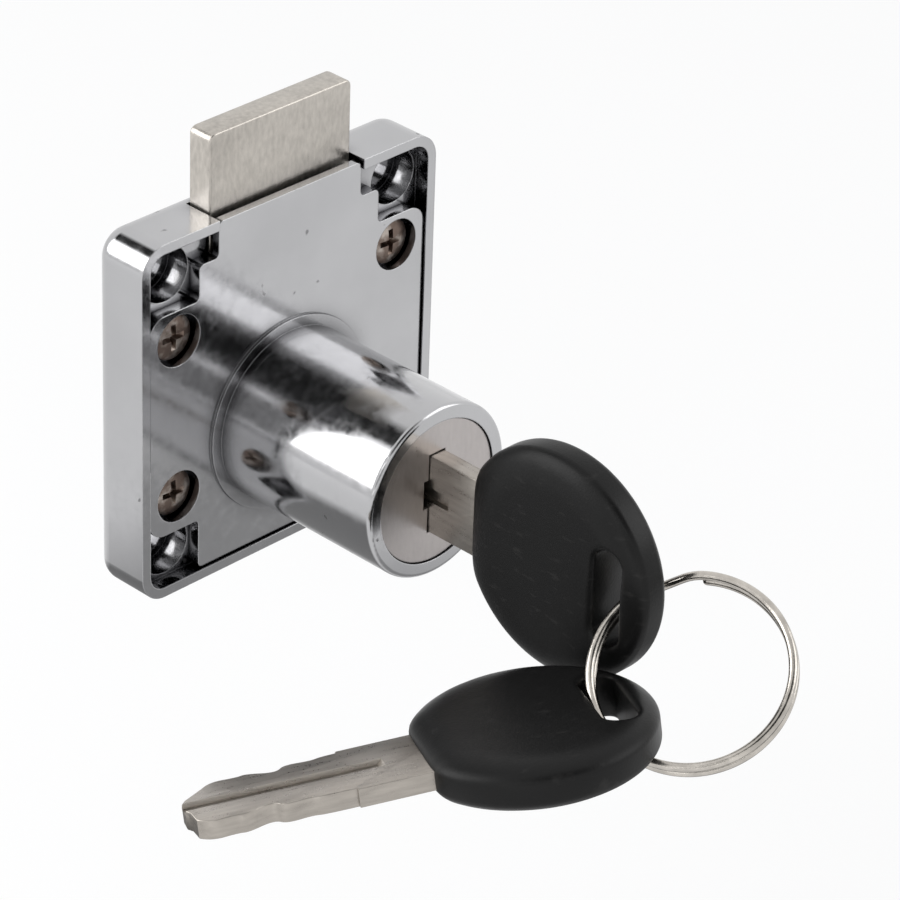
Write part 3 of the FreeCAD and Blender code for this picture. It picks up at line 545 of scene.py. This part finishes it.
def plate_mesh(name, outlines, thickness, edge):
    """A flat plate with bevelled edges in XY, centred on Z; the outlines after the first are holes."""
    curve = bpy.data.curves.new(name, "CURVE")
    curve.dimensions = "2D"
    curve.fill_mode = "BOTH"
    curve.extrude = thickness / 2 - edge
    curve.bevel_depth = edge
    curve.bevel_resolution = 2
    curve.offset = -edge
    for outline in outlines:
        spline = curve.splines.new("POLY")
        spline.points.add(len(outline) - 1)
        for point, place in zip(spline.points, outline):
            point.co = (place[0], place[1], 0.0, 1.0)
        spline.use_cyclic_u = True
    holder = bpy.data.objects.new(name, curve)
    bpy.context.scene.collection.objects.link(holder)
    mesh = worked_out(holder)
    bpy.data.objects.remove(holder)
    bpy.data.curves.remove(curve)
    return turned_out(mesh, 0.001 * MM)


def tube(points, radius, sides):
    """A tube along points, with domed ends."""
    ways = []
    for index in range(len(points)):
        ahead = points[min(index + 1, len(points) - 1)]
        behind = points[max(index - 1, 0)]
        ways.append((ahead - behind).normalized())
    # Each end's dome: how far it stands out and how wide it is there, against the radius
    dome = ((0.98, 0.2), (0.85, 0.53), (0.5, 0.87))
    stations = [(points[0] - ways[0] * radius * out, ways[0], wide) for out, wide in dome]
    stations += [(point, way, 1.0) for point, way in zip(points, ways)]
    stations += [(points[-1] + ways[-1] * radius * out, ways[-1], wide) for out, wide in reversed(dome)]
    side = ways[0].orthogonal().normalized()
    vertices = []
    faces = []
    for centre, way, wide in stations:
        side = (side - way * side.dot(way)).normalized()
        other = way.cross(side)
        loop = len(vertices)
        if loop:
            faces += band(loop - sides, loop, sides)
        vertices += [centre + (side * turn.x + other * turn.y) * radius * wide for turn in circle(sides)]
    return vertices, faces + caps(0, len(vertices) - sides, sides)


# Where the ring and the second key hang
def joint_vector(joint, field):
    """A joint's place or axis."""
    return Vector(joints[joint][field])


def ring_turn(turn):
    """Columns outwards, along the wire and along the ring's axis, some way round from the first key."""
    axis = joint_vector("key_2_orbit", "axis").normalized()
    along = joint_vector("ring_tilt", "axis").normalized()
    outwards = Matrix.Rotation(turn, 3, axis) @ along.cross(axis)
    return Matrix((outwards, axis.cross(outwards), axis)).transposed()


def placed(turned, place):
    """A transform from a rotation and a place."""
    return Matrix.Translation(place) @ turned.to_4x4()


def second_key_matrix(ring, key):
    """Carries the first key to where the second one hangs."""
    turned = ring_turn(-ring.key_arc / ring.radius)
    end_way = (turned @ Vector(ring.key_end_way)).normalized()
    side_way = turned @ Vector(ring.key_side_way)
    side_way = (side_way - end_way * side_way.dot(end_way)).normalized()
    lying = Matrix((end_way, side_way, end_way.cross(side_way))).transposed()
    # The first key's length, width and faces are along -Y, Z and -X
    rotation = lying @ Matrix(((0, -1, 0), (0, 0, 1), (-1, 0, 0)))
    in_slot = Vector((0, -key.head_middle - key.slot_out + ring.side_room,
                      key.slot_length / 2 - ring.end_room))
    on_wire = joint_vector("key_2_orbit", "pos_m") + turned.col[0] * ring.radius
    return placed(rotation, on_wire - rotation @ in_slot)


class LockOperator:
    """Shared by the operators: undo, and the settings of the scene."""
    bl_options = {"REGISTER", "UNDO"}

    def settings(self, context):
        """What the user has set for the lock."""
        return context.scene.cabinet_lock


def dress(node, material):
    """Give a CAD node its material."""
    mesh = frame["nodes"][node].data
    mesh.materials.clear()
    mesh.materials.append(material)


class LOCK_OT_dress_castings(LockOperator, bpy.types.Operator):
    """Give the case and the barrel their plating"""
    bl_idname = "cabinet_lock.dress_castings"
    bl_label = "Case and barrel"

    def execute(self, context):
        plating = chrome_finish(self.settings(context).metal)
        for node in ("rear_case", "front_cover"):
            dress(node, plating)
        return {"FINISHED"}


class LOCK_OT_dress_plug(LockOperator, bpy.types.Operator):
    """Give the plug, its clip and the wafers their finish"""
    bl_idname = "cabinet_lock.dress_plug"
    bl_label = "Plug and wafers"

    def execute(self, context):
        looks = self.settings(context).metal
        face = brushed_finish("plug_face", looks.plug, looks.nickel_gloss, stretch=(1.0, 1.0, 0.3),
                              contrast=0.5, depth=0.012 * MM, edge=looks.edge)
        for node in ("plug", "retainer_clip"):
            dress(node, face)
        brass = brushed_finish("wafer_brass", looks.brass, looks.brass_gloss, stretch=(0.2, 1.0, 1.0))
        for node in frame["nodes"]:
            if node.startswith("wafer_") and not node.startswith("wafer_spring"):
                dress(node, brass)
        return {"FINISHED"}


class LOCK_OT_screws(LockOperator, bpy.types.Operator):
    """Four domed screws with a cross recess in their heads"""
    bl_idname = "cabinet_lock.screws"
    bl_label = "Cover screws"

    def execute(self, context):
        settings = self.settings(context)
        low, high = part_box("cover_screws")
        inset = settings.screws.head + settings.screws.side_room
        parts = []
        for across in (low.x + inset, high.x - inset):
            for up in (low.z + inset, high.z - inset):
                parts.append(screw_part(settings.screws, Vector((across, low.y, up)), high.y - low.y))
        mesh = join_meshes("cover_screw_heads", parts)
        piece = finished_piece("cover_screw_heads", mesh, bronze_finish(settings.metal))
        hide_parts("cover_screws")
        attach(piece, "root")
        return {"FINISHED"}


def screw_part(sizes, place, length):
    """One screw, its axis along Y: a domed head with a tapered cross, and a shank."""
    half = sizes.arm_width / 2
    corners = []
    for quarter in range(4):
        turn = Matrix.Rotation(math.pi / 2 * quarter, 2)
        arm = ((half, half), (half, sizes.arm), (-half, sizes.arm))
        corners += [turn @ Vector(corner) for corner in arm]
    mouth = [corner.lerp(corners[(index + 1) % len(corners)], step / CROSS_STEPS)
             for index, corner in enumerate(corners) for step in range(CROSS_STEPS)]
    count = len(mouth)
    # The cross starts at a corner, an eighth of a turn round
    round_head = [direction * sizes.head for direction in circle(count, math.pi / 4)]
    shank = [point * (sizes.shank / sizes.head) for point in round_head]

    def dome(point):
        """How far the head's top lies back at a point: part of a ball that ends at 60 degrees."""
        out = min(1.0, point.length / sizes.head) * math.sin(math.pi / 3)
        return sizes.dome * (1.0 - math.sqrt(1.0 - out ** 2)) / (1.0 - math.cos(math.pi / 3))

    loops = [[(point * sizes.bottom, sizes.depth) for point in mouth],
             [(point, dome(point) + sizes.lip) for point in mouth]]
    # Loops from the cross out to the rim
    for portion in (0.25, 0.6, 0.88, 1.0):
        between = [inner.lerp(outer, portion) for inner, outer in zip(mouth, round_head)]
        loops.append([(point, dome(point)) for point in between])
    loops += [[(point, sizes.rim) for point in round_head],
              [(point, sizes.rim) for point in shank],
              [(point, length - sizes.point) for point in shank],
              [(point * sizes.point_width, length - sizes.point_room) for point in shank]]
    vertices = [place + Vector((point.x, depth, point.y)) for loop in loops for point, depth in loop]
    faces = []
    for loop in range(len(loops) - 1):
        faces += band((loop + 1) * count, loop * count, count)
    return vertices, faces + caps(len(vertices) - count, 0, count)


class LOCK_OT_bolt(LockOperator, bpy.types.Operator):
    """The sliding bolt: a bevelled plate with a slot for the crank pin"""
    bl_idname = "cabinet_lock.bolt"
    bl_label = "Bolt"

    def execute(self, context):
        settings = self.settings(context)
        sizes = settings.bolt
        low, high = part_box("bolt")
        outline = rounded_outline([((low.x, low.z), sizes.heel), ((high.x, low.z), sizes.heel),
                                   ((high.x, high.z), sizes.corner), ((low.x, high.z), sizes.corner)])
        slot = rounded_outline([((across * sizes.slot_reach, sizes.slot_middle + up * sizes.slot_half),
                                 sizes.slot_corner) for across, up in ((-1, -1), (1, -1), (1, 1), (-1, 1))])
        mesh = plate_mesh("bolt_plate", [outline, slot], high.y - low.y, sizes.edge)
        # The plate lies in XY; turn it so that it stands in XZ
        upright = Matrix(((1, 0, 0), (0, 0, -1), (0, 1, 0))).to_4x4()
        mesh.transform(Matrix.Translation((0, (low.y + high.y) / 2, 0)) @ upright)
        finish = brushed_finish("bolt_nickel", settings.metal.nickel, settings.metal.nickel_gloss,
                                stretch=(1.0, 1.0, 0.4), contrast=1.3, depth=0.035 * MM)
        piece = finished_piece("bolt_plate", mesh, finish)
        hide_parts("bolt")
        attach(piece, "bolt")
        return {"FINISHED"}


class LOCK_OT_wafer_springs(LockOperator, bpy.types.Operator):
    """A small coil spring beside each wafer"""
    bl_idname = "cabinet_lock.wafer_springs"
    bl_label = "Wafer springs"

    def execute(self, context):
        settings = self.settings(context)
        sizes = settings.coils
        nodes = sorted(node for node in frame["nodes"] if node.startswith("wafer_spring"))
        parts = []
        for node in nodes:
            low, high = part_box(node)
            centre = (low + high) / 2
            radius = (high.x - low.x) / 2 - sizes.wire / 2
            span = high.z - low.z - sizes.wire
            turns = circle(COIL_STEPS) * sizes.turns + circle(1)
            points = []
            for step, turn in enumerate(turns):
                rise = (step / (len(turns) - 1) - 0.5) * span
                points.append(centre + Vector((radius * turn.x, radius * turn.y, rise)))
            parts.append(tube(points, sizes.wire / 2, COIL_SIDES))
        mesh = join_meshes("wafer_coils", parts)
        piece = finished_piece("wafer_coils", mesh, wire_finish(settings.metal), crease=70.0)
        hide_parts(*nodes)
        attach(piece, "plug")
        return {"FINISHED"}


class LOCK_OT_keys(LockOperator, bpy.types.Operator):
    """Both keys: bitted blades in black heads"""
    bl_idname = "cabinet_lock.keys"
    bl_label = "Keys"

    def execute(self, context):
        settings = self.settings(context)
        nickel = brushed_finish("blade_nickel", settings.metal.blade, settings.metal.nickel_gloss * 0.9,
                                stretch=(1.0, 0.12, 1.0), contrast=1.2, depth=0.025 * MM)
        plastic = black_plastic_finish(settings.plastic)
        places = (("key_1", Matrix.Identity(4)), ("key_2", second_key_matrix(settings.ring, settings.key)))
        for body, place in places:
            name = f"{body}_blade_cut"
            blade = finished_piece(name, blade_mesh(name, settings.key), nickel)
            name = f"{body}_head_moulded"
            head = finished_piece(name, head_mesh(name, settings.key), plastic, crease=50.0)
            for piece, node, slot in ((blade, f"{body}_blade", "nickel"),
                                      (head, f"{body}_head", "black_plastic")):
                piece.matrix_world = place
                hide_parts(node)
                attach(piece, body)
        return {"FINISHED"}


def bent_line(poles, steps):
    """Points on a smooth curve that stays within its poles and starts and ends on them."""
    spans = len(poles) - 2
    knots = [0.0, 0.0] + [float(index) for index in range(spans + 1)] + [float(spans)] * 2
    points = []
    for step in range(steps + 1):
        place = spans * step / steps
        span = min(int(place), spans - 1) + 2
        work = [poles[span - 2 + index].copy() for index in range(3)]
        for depth in (1, 2):
            for index in range(2, depth - 1, -1):
                left = knots[span - 2 + index]
                right = knots[span + 1 + index - depth]
                blend = (place - left) / (right - left)
                work[index] = work[index - 1].lerp(work[index], blend)
        points.append(work[2])
    return points


# How deep each cut of the key goes, from the head to the tip
CUT_DEPTHS = (0.35 * MM, 1.15 * MM, 0.3 * MM, 1.0 * MM)


def bitted_edge(side, key):
    """One edge of the blade, with a cut over every second wafer."""
    land = key.blade_width / 2
    poles = [Vector((-key.shoulder, side * land))]
    for number in range(2 * len(CUT_DEPTHS)):
        if 1 - 2 * (number % 2) == side:
            continue
        middle = -key.first_wafer + number * key.wafer_pitch
        poles.append(Vector((middle - key.wafer_pitch / 2, side * land)))
        poles.append(Vector((middle, side * (land - CUT_DEPTHS[number // 2]))))
    poles.append(Vector((-key.taper, side * (land - CUT_DEPTHS[0]))))
    # Poles that crowd the one before are left out
    kept = [poles[0]]
    for pole in poles[1:]:
        if pole.x - kept[-1].x > key.wafer_pitch / 3:
            kept.append(pole)
    return bent_line(kept, CUT_STEPS)


def blade_mesh(name, key):
    """The blade with its groove; it lies along Y, its faces towards X."""
    shank = key.shank_width / 2
    point = key.tip_width / 2
    nose = key.nose
    slant = nose * key.nose_slant
    outline = [Vector((-key.root, -shank)), Vector((-key.shoulder, -shank))] + bitted_edge(-1, key)
    outline += [Vector((-key.tip - nose, -point - slant)), Vector((-key.tip, -point + nose)),
                Vector((-key.tip, point - nose)), Vector((-key.tip - nose, point + slant))]
    outline += list(reversed(bitted_edge(1, key)))
    outline += [Vector((-key.shoulder, shank)), Vector((-key.root, shank))]
    mesh = plate_mesh(name, [outline], key.blade_thick, key.blade_edge)
    # The plate lies in XY; turn it so that its length runs along Y and its width up Z
    mesh.transform(Matrix(((0, 0, -1), (1, 0, 0), (0, -1, 0))).to_4x4())
    return grooved(name, mesh, key)


def grooved(name, mesh, key):
    """Cut the groove along the blade's left face."""
    blade = bpy.data.objects.new(f"{name}_work", mesh)
    half = key.groove_width / 2
    side = -key.blade_thick / 2
    slope = key.groove_depth * key.groove_lean
    bottom = side + key.groove_depth
    outside = side - key.groove_depth
    lower = [(outside, -half - slope * 2), (side, -half), (bottom, -half + slope)]
    section = lower + [(x, -z) for x, z in reversed(lower)]
    count = len(section)
    # The groove's near end runs out on a slope, its far end past the tip
    vertices = [(x, x - side - key.groove_start, z) for x, z in section]
    vertices += [(x, key.groove_past - key.tip, z) for x, z in section]
    faces = caps(count, 0, count) + band(count, 0, count)
    cutter = bpy.data.objects.new(f"{name}_cutter",
                                  turned_out(mesh_from(f"{name}_cutter", vertices, faces)))
    for work in (blade, cutter):
        bpy.context.scene.collection.objects.link(work)
    cut = blade.modifiers.new("groove", "BOOLEAN")
    cut.operation = "DIFFERENCE"
    cut.solver = "EXACT"
    cut.object = cutter
    result = worked_out(blade)
    for work in (blade, cutter):
        bpy.data.objects.remove(work)
    result.name = name
    return result


def head_mesh(name, key):
    """The moulded head: a thick pad with a straight wall, a rounded edge and a slot for the ring."""
    slot_middle = Vector((key.slot_out, 0.0))
    slot_half = key.slot_width / 2
    slot_straight = (key.slot_length - key.slot_width) / 2

    def inside(point):
        """How far a point lies inside the head's outline, with rounded corners."""
        from_round = key.head_radius - point.length
        from_cut = point.x + key.head_cut
        blend = max(0.0, key.head_corner - abs(from_round - from_cut)) / key.head_corner
        return min(from_round, from_cut) - blend * blend * key.head_corner / 4

    def from_slot(point):
        """How far a point lies outside the slot."""
        offset = point - slot_middle
        along = max(-slot_straight, min(slot_straight, offset.y))
        return (offset - Vector((0, along))).length - slot_half

    def thickness(point):
        """Half the thickness of the head at a point."""
        edge = key.head_edge / 2
        depth = max(0.0, min(1.0, 1.0 - inside(point) / key.head_bevel))
        half = edge + (key.head_thick / 2 - edge) * math.sqrt(max(0.0, 1.0 - depth * depth))
        near_slot = max(0.0, min(1.0, 1.0 - from_slot(point) / key.slot_round))
        return half - key.slot_round * (1.0 - math.sqrt(max(0.0, 1.0 - near_slot * near_slot)))

    def edge_along(direction, test, far):
        """The place along a ray from the slot's middle where a test turns from true to false."""
        near_end, far_end = 0.0, far
        halvings = 40
        for _ in range(halvings):
            middle = (near_end + far_end) / 2
            if test(slot_middle + direction * middle):
                near_end = middle
            else:
                far_end = middle
        return slot_middle + direction * near_end

    # From the slot's edge to the outline, closer together where the surface bends
    portions = (0.0, 0.004, 0.012, 0.026, 0.05, 0.09, 0.15, 0.23, 0.33, 0.44, 0.55, 0.65, 0.73, 0.80,
                0.86, 0.91, 0.945, 0.97, 0.985, 0.995, 1.0)
    rays = [(edge_along(direction, lambda point: from_slot(point) < 0, key.slot_length),
             edge_along(direction, lambda point: inside(point) > 0, key.head_radius * 3))
            for direction in circle(HEAD_SIDES)]
    points = [slot_edge.lerp(outline, portion) for portion in portions for slot_edge, outline in rays]
    vertices = [Vector((-side * thickness(point), -key.head_middle - point.x, point.y))
                for side in (1, -1) for point in points]
    count = len(rays)
    far_side = len(points)
    outermost = far_side - count
    faces = band(far_side, 0, count) + band(outermost, far_side + outermost, count)
    for loop in range(0, outermost, count):
        faces += band(loop, loop + count, count) + band(far_side + loop + count, far_side + loop, count)
    return turned_out(mesh_from(name, vertices, faces))


class LOCK_OT_split_ring(LockOperator, bpy.types.Operator):
    """Two turns of wire with a short climb between them"""
    bl_idname = "cabinet_lock.split_ring"
    bl_label = "Split ring"

    def execute(self, context):
        settings = self.settings(context)
        ring = settings.ring
        rise = ring.wire + ring.gap / 2
        split = ring.half_split
        first, last = split, 4 * math.pi - split
        points = []
        for step in range(RING_STEPS + 1):
            turn = first + (last - first) * step / RING_STEPS
            climb = max(0.0, min(1.0, (turn - (2 * math.pi - split)) / (2 * split)))
            smooth = 2 * climb * climb if climb < 0.5 else 1.0 - 2 * (1.0 - climb) ** 2
            points.append(Vector((ring.radius * math.cos(turn), ring.radius * math.sin(turn),
                                  rise * (1.0 - 2.0 * smooth))))
        mesh = mesh_from("split_ring_wire", *tube(points, ring.wire, RING_SIDES))
        piece = finished_piece("split_ring_wire", mesh, wire_finish(settings.metal), crease=70.0)
        piece.matrix_world = placed(ring_turn(ring.split_from_key), joint_vector("key_2_orbit", "pos_m"))
        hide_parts("split_ring")
        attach(piece, "split_ring")
        return {"FINISHED"}


# Dark studio cards, in metres: name, place, the spot that they face, width and height, darkness
CARDS = (
    ("dark_card_back", (-0.09, 0.21, 0.27), (0.0, 0.0, 0.0), (0.22, 0.20), 1.0),
    ("dark_card_viewer", (-0.20, -0.53, 0.74), (0.0, 0.0, 0.0), (1.2, 0.9), 1.0),
    ("dark_card_left", (-0.030, 0.020, -0.052), (-0.030, 0.020, 0.0), (0.15, 0.10), 0.75),
    ("dark_card_front", (0.028, -0.046, -0.052), (0.028, -0.046, 0.0), (0.09, 0.08), 0.6),
    ("dark_card_side", (-0.33, -0.28, 0.13), (0.0, 0.0, 0.0), (0.42, 0.36), 0.9),
)
# Soft lamps, in metres: name, place, side, and the setting that gives the power
LAMPS = (
    ("main_lamp", (-0.42, 0.38, 0.28), 0.5, "main_light"),
    ("left_lamp", (-0.50, -0.38, 0.20), 0.4, "left_light"),
    ("right_lamp", (0.42, -0.41, 0.35), 0.4, "right_light"),
)
WHITE = (1.0, 1.0, 1.0, 1.0)


class LOCK_OT_stage(LockOperator, bpy.types.Operator):
    """Floor, soft lamps, dark studio cards, room light and the camera"""
    bl_idname = "cabinet_lock.stage"
    bl_label = "Stage"

    def execute(self, context):
        settings = self.settings(context)
        looks = settings.stage
        add_floor(looks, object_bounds()[0].z - looks.floor_drop)
        for name, place, spot, extent, strength in CARDS:
            add_card(looks, name, Vector(place), Vector(spot), extent, strength)
        for name, place, side, setting in LAMPS:
            add_lamp(name, Vector(place), side, getattr(looks, setting))
        add_room(context.scene, looks)
        add_camera(context.scene, settings.view)
        context.scene.view_settings.view_transform = "Standard"
        return {"FINISHED"}


def sheet(name, wide, tall, height=0.0):
    """A flat sheet that lies level."""
    right, back = wide / 2, tall / 2
    return mesh_from(name, [(-right, -back, height), (right, -back, height),
                            (right, back, height), (-right, back, height)], [(0, 1, 2, 3)])


def add_floor(looks, height):
    """A pale floor that reaches past every view."""
    mesh = sheet("floor", looks.floor_half * 2, looks.floor_half * 2, height)
    finish = Finish("pale_floor")
    patches = finish.noise(scale=3.0, detail=2.0)
    colour = finish.clouded(patches, 0.3, 0.7, looks.floor, 0.995, 1.005)
    lit = finish.add("ShaderNodeBsdfDiffuse", {}, {"Color": colour})
    white = finish.add("ShaderNodeEmission", {}, {"Color": WHITE, "Strength": 1.0})
    both = finish.mix_shaders(finish.seen() * looks.floor_white, lit, white)
    finished_piece("floor", mesh, finish.close(both))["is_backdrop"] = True


def add_card(looks, name, place, spot, extent, strength):
    """A dark studio card with soft edges, which shows only in the gloss."""
    wide, tall = extent
    finish = Finish(name)
    colour = finish.mix(finish.noise(scale=12.0, detail=2.0), with_alpha(looks.card),
                        with_alpha(looks.card, 1.5))
    across = finish.place((2 / wide, 2 / tall, 1.0))
    middle = finish.add("ShaderNodeTexGradient", {"gradient_type": "SPHERICAL"}, {"Vector": across}, "Fac")
    cover = finish.remap(middle, 0.0, 0.5, 0.0, strength)
    material = finish.principled(Base_Color=colour, Roughness=0.95, Specular_IOR_Level=0.0, Alpha=cover)
    card = finished_piece(name, sheet(name, wide, tall), material)
    card.location = place
    card.rotation_mode = "QUATERNION"
    card.rotation_quaternion = (spot - place).to_track_quat("Z", "Y")
    for ray in ("camera", "diffuse", "transmission", "shadow", "volume_scatter"):
        setattr(card, f"visible_{ray}", False)
    card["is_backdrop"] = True


def add_lamp(name, place, side, watts):
    """A soft square lamp that faces the middle of the scene."""
    lamp = bpy.data.lights.new(name, "AREA")
    lamp.shape = "SQUARE"
    lamp.size = side
    lamp.energy = watts
    holder = bpy.data.objects.new(name, lamp)
    holder.location = place
    holder.rotation_mode = "QUATERNION"
    holder.rotation_quaternion = (-place).to_track_quat("-Z", "Y")
    bpy.context.scene.collection.objects.link(holder)


def add_room(scene, looks):
    """Even light from all round; the eye, the gloss and the glass see plain white."""
    scene.world = bpy.data.worlds.new("room")
    room = Shading(scene.world)
    light = room.add("ShaderNodeBackground", {}, {"Color": with_alpha(looks.room_tint),
                                                  "Strength": looks.room})
    white = room.add("ShaderNodeBackground", {}, {"Color": WHITE, "Strength": 1.0})
    room.add("ShaderNodeOutputWorld", {}, {"Surface": room.mix_shaders(room.seen(), light, white)})


def add_camera(scene, view):
    """The camera, at the photograph's viewing angle."""
    data = bpy.data.cameras.new("camera")
    data.lens = view.lens
    data.sensor_width = 36.0
    data.clip_start = 0.01
    data.clip_end = 20.0
    camera = bpy.data.objects.new("camera", data)
    aim = Matrix.Rotation(view.turn, 4, "Z") @ Matrix.Rotation(view.tilt, 4, "X")
    camera.matrix_world = Matrix.Translation(view.place) @ aim @ Matrix.Rotation(view.roll, 4, "Z")
    scene.collection.objects.link(camera)
    scene.camera = camera


class LOCK_PT_panel(bpy.types.Panel):
    """Buttons that build the lock's looks, and their sizes"""
    bl_idname = "LOCK_PT_panel"
    bl_label = "Cabinet lock"
    bl_space_type = "VIEW_3D"
    bl_region_type = "UI"
    bl_category = "Cabinet lock"

    def draw(self, context):
        settings = context.scene.cabinet_lock
        for operator in OPERATORS:
            self.layout.operator(operator.bl_idname)
        for group in LockSettings.__annotations__:
            box = self.layout.box()
            box.label(text=group.capitalize())
            values = getattr(settings, group)
            for name in values.__annotations__:
                box.prop(values, name)


OPERATORS = (LOCK_OT_dress_castings, LOCK_OT_dress_plug, LOCK_OT_screws, LOCK_OT_bolt,
             LOCK_OT_wafer_springs, LOCK_OT_keys, LOCK_OT_split_ring, LOCK_OT_stage)
CLASSES = (MetalLooks, PlasticLooks, ScrewSizes, BoltSizes, CoilSizes, KeySizes, RingSizes, StageLooks,
           ViewSettings, LockSettings, *OPERATORS, LOCK_PT_panel)


def register():
    for item in CLASSES:
        bpy.utils.register_class(item)
    bpy.types.Scene.cabinet_lock = PointerProperty(type=LockSettings)


def unregister():
    del bpy.types.Scene.cabinet_lock
    for item in reversed(CLASSES):
        bpy.utils.unregister_class(item)


def main():
    """Build everything in order."""
    register()
    for operator in OPERATORS:
        group, name = operator.bl_idname.split(".")
        getattr(getattr(bpy.ops, group), name)()


if __name__ == "__main__":
    main()
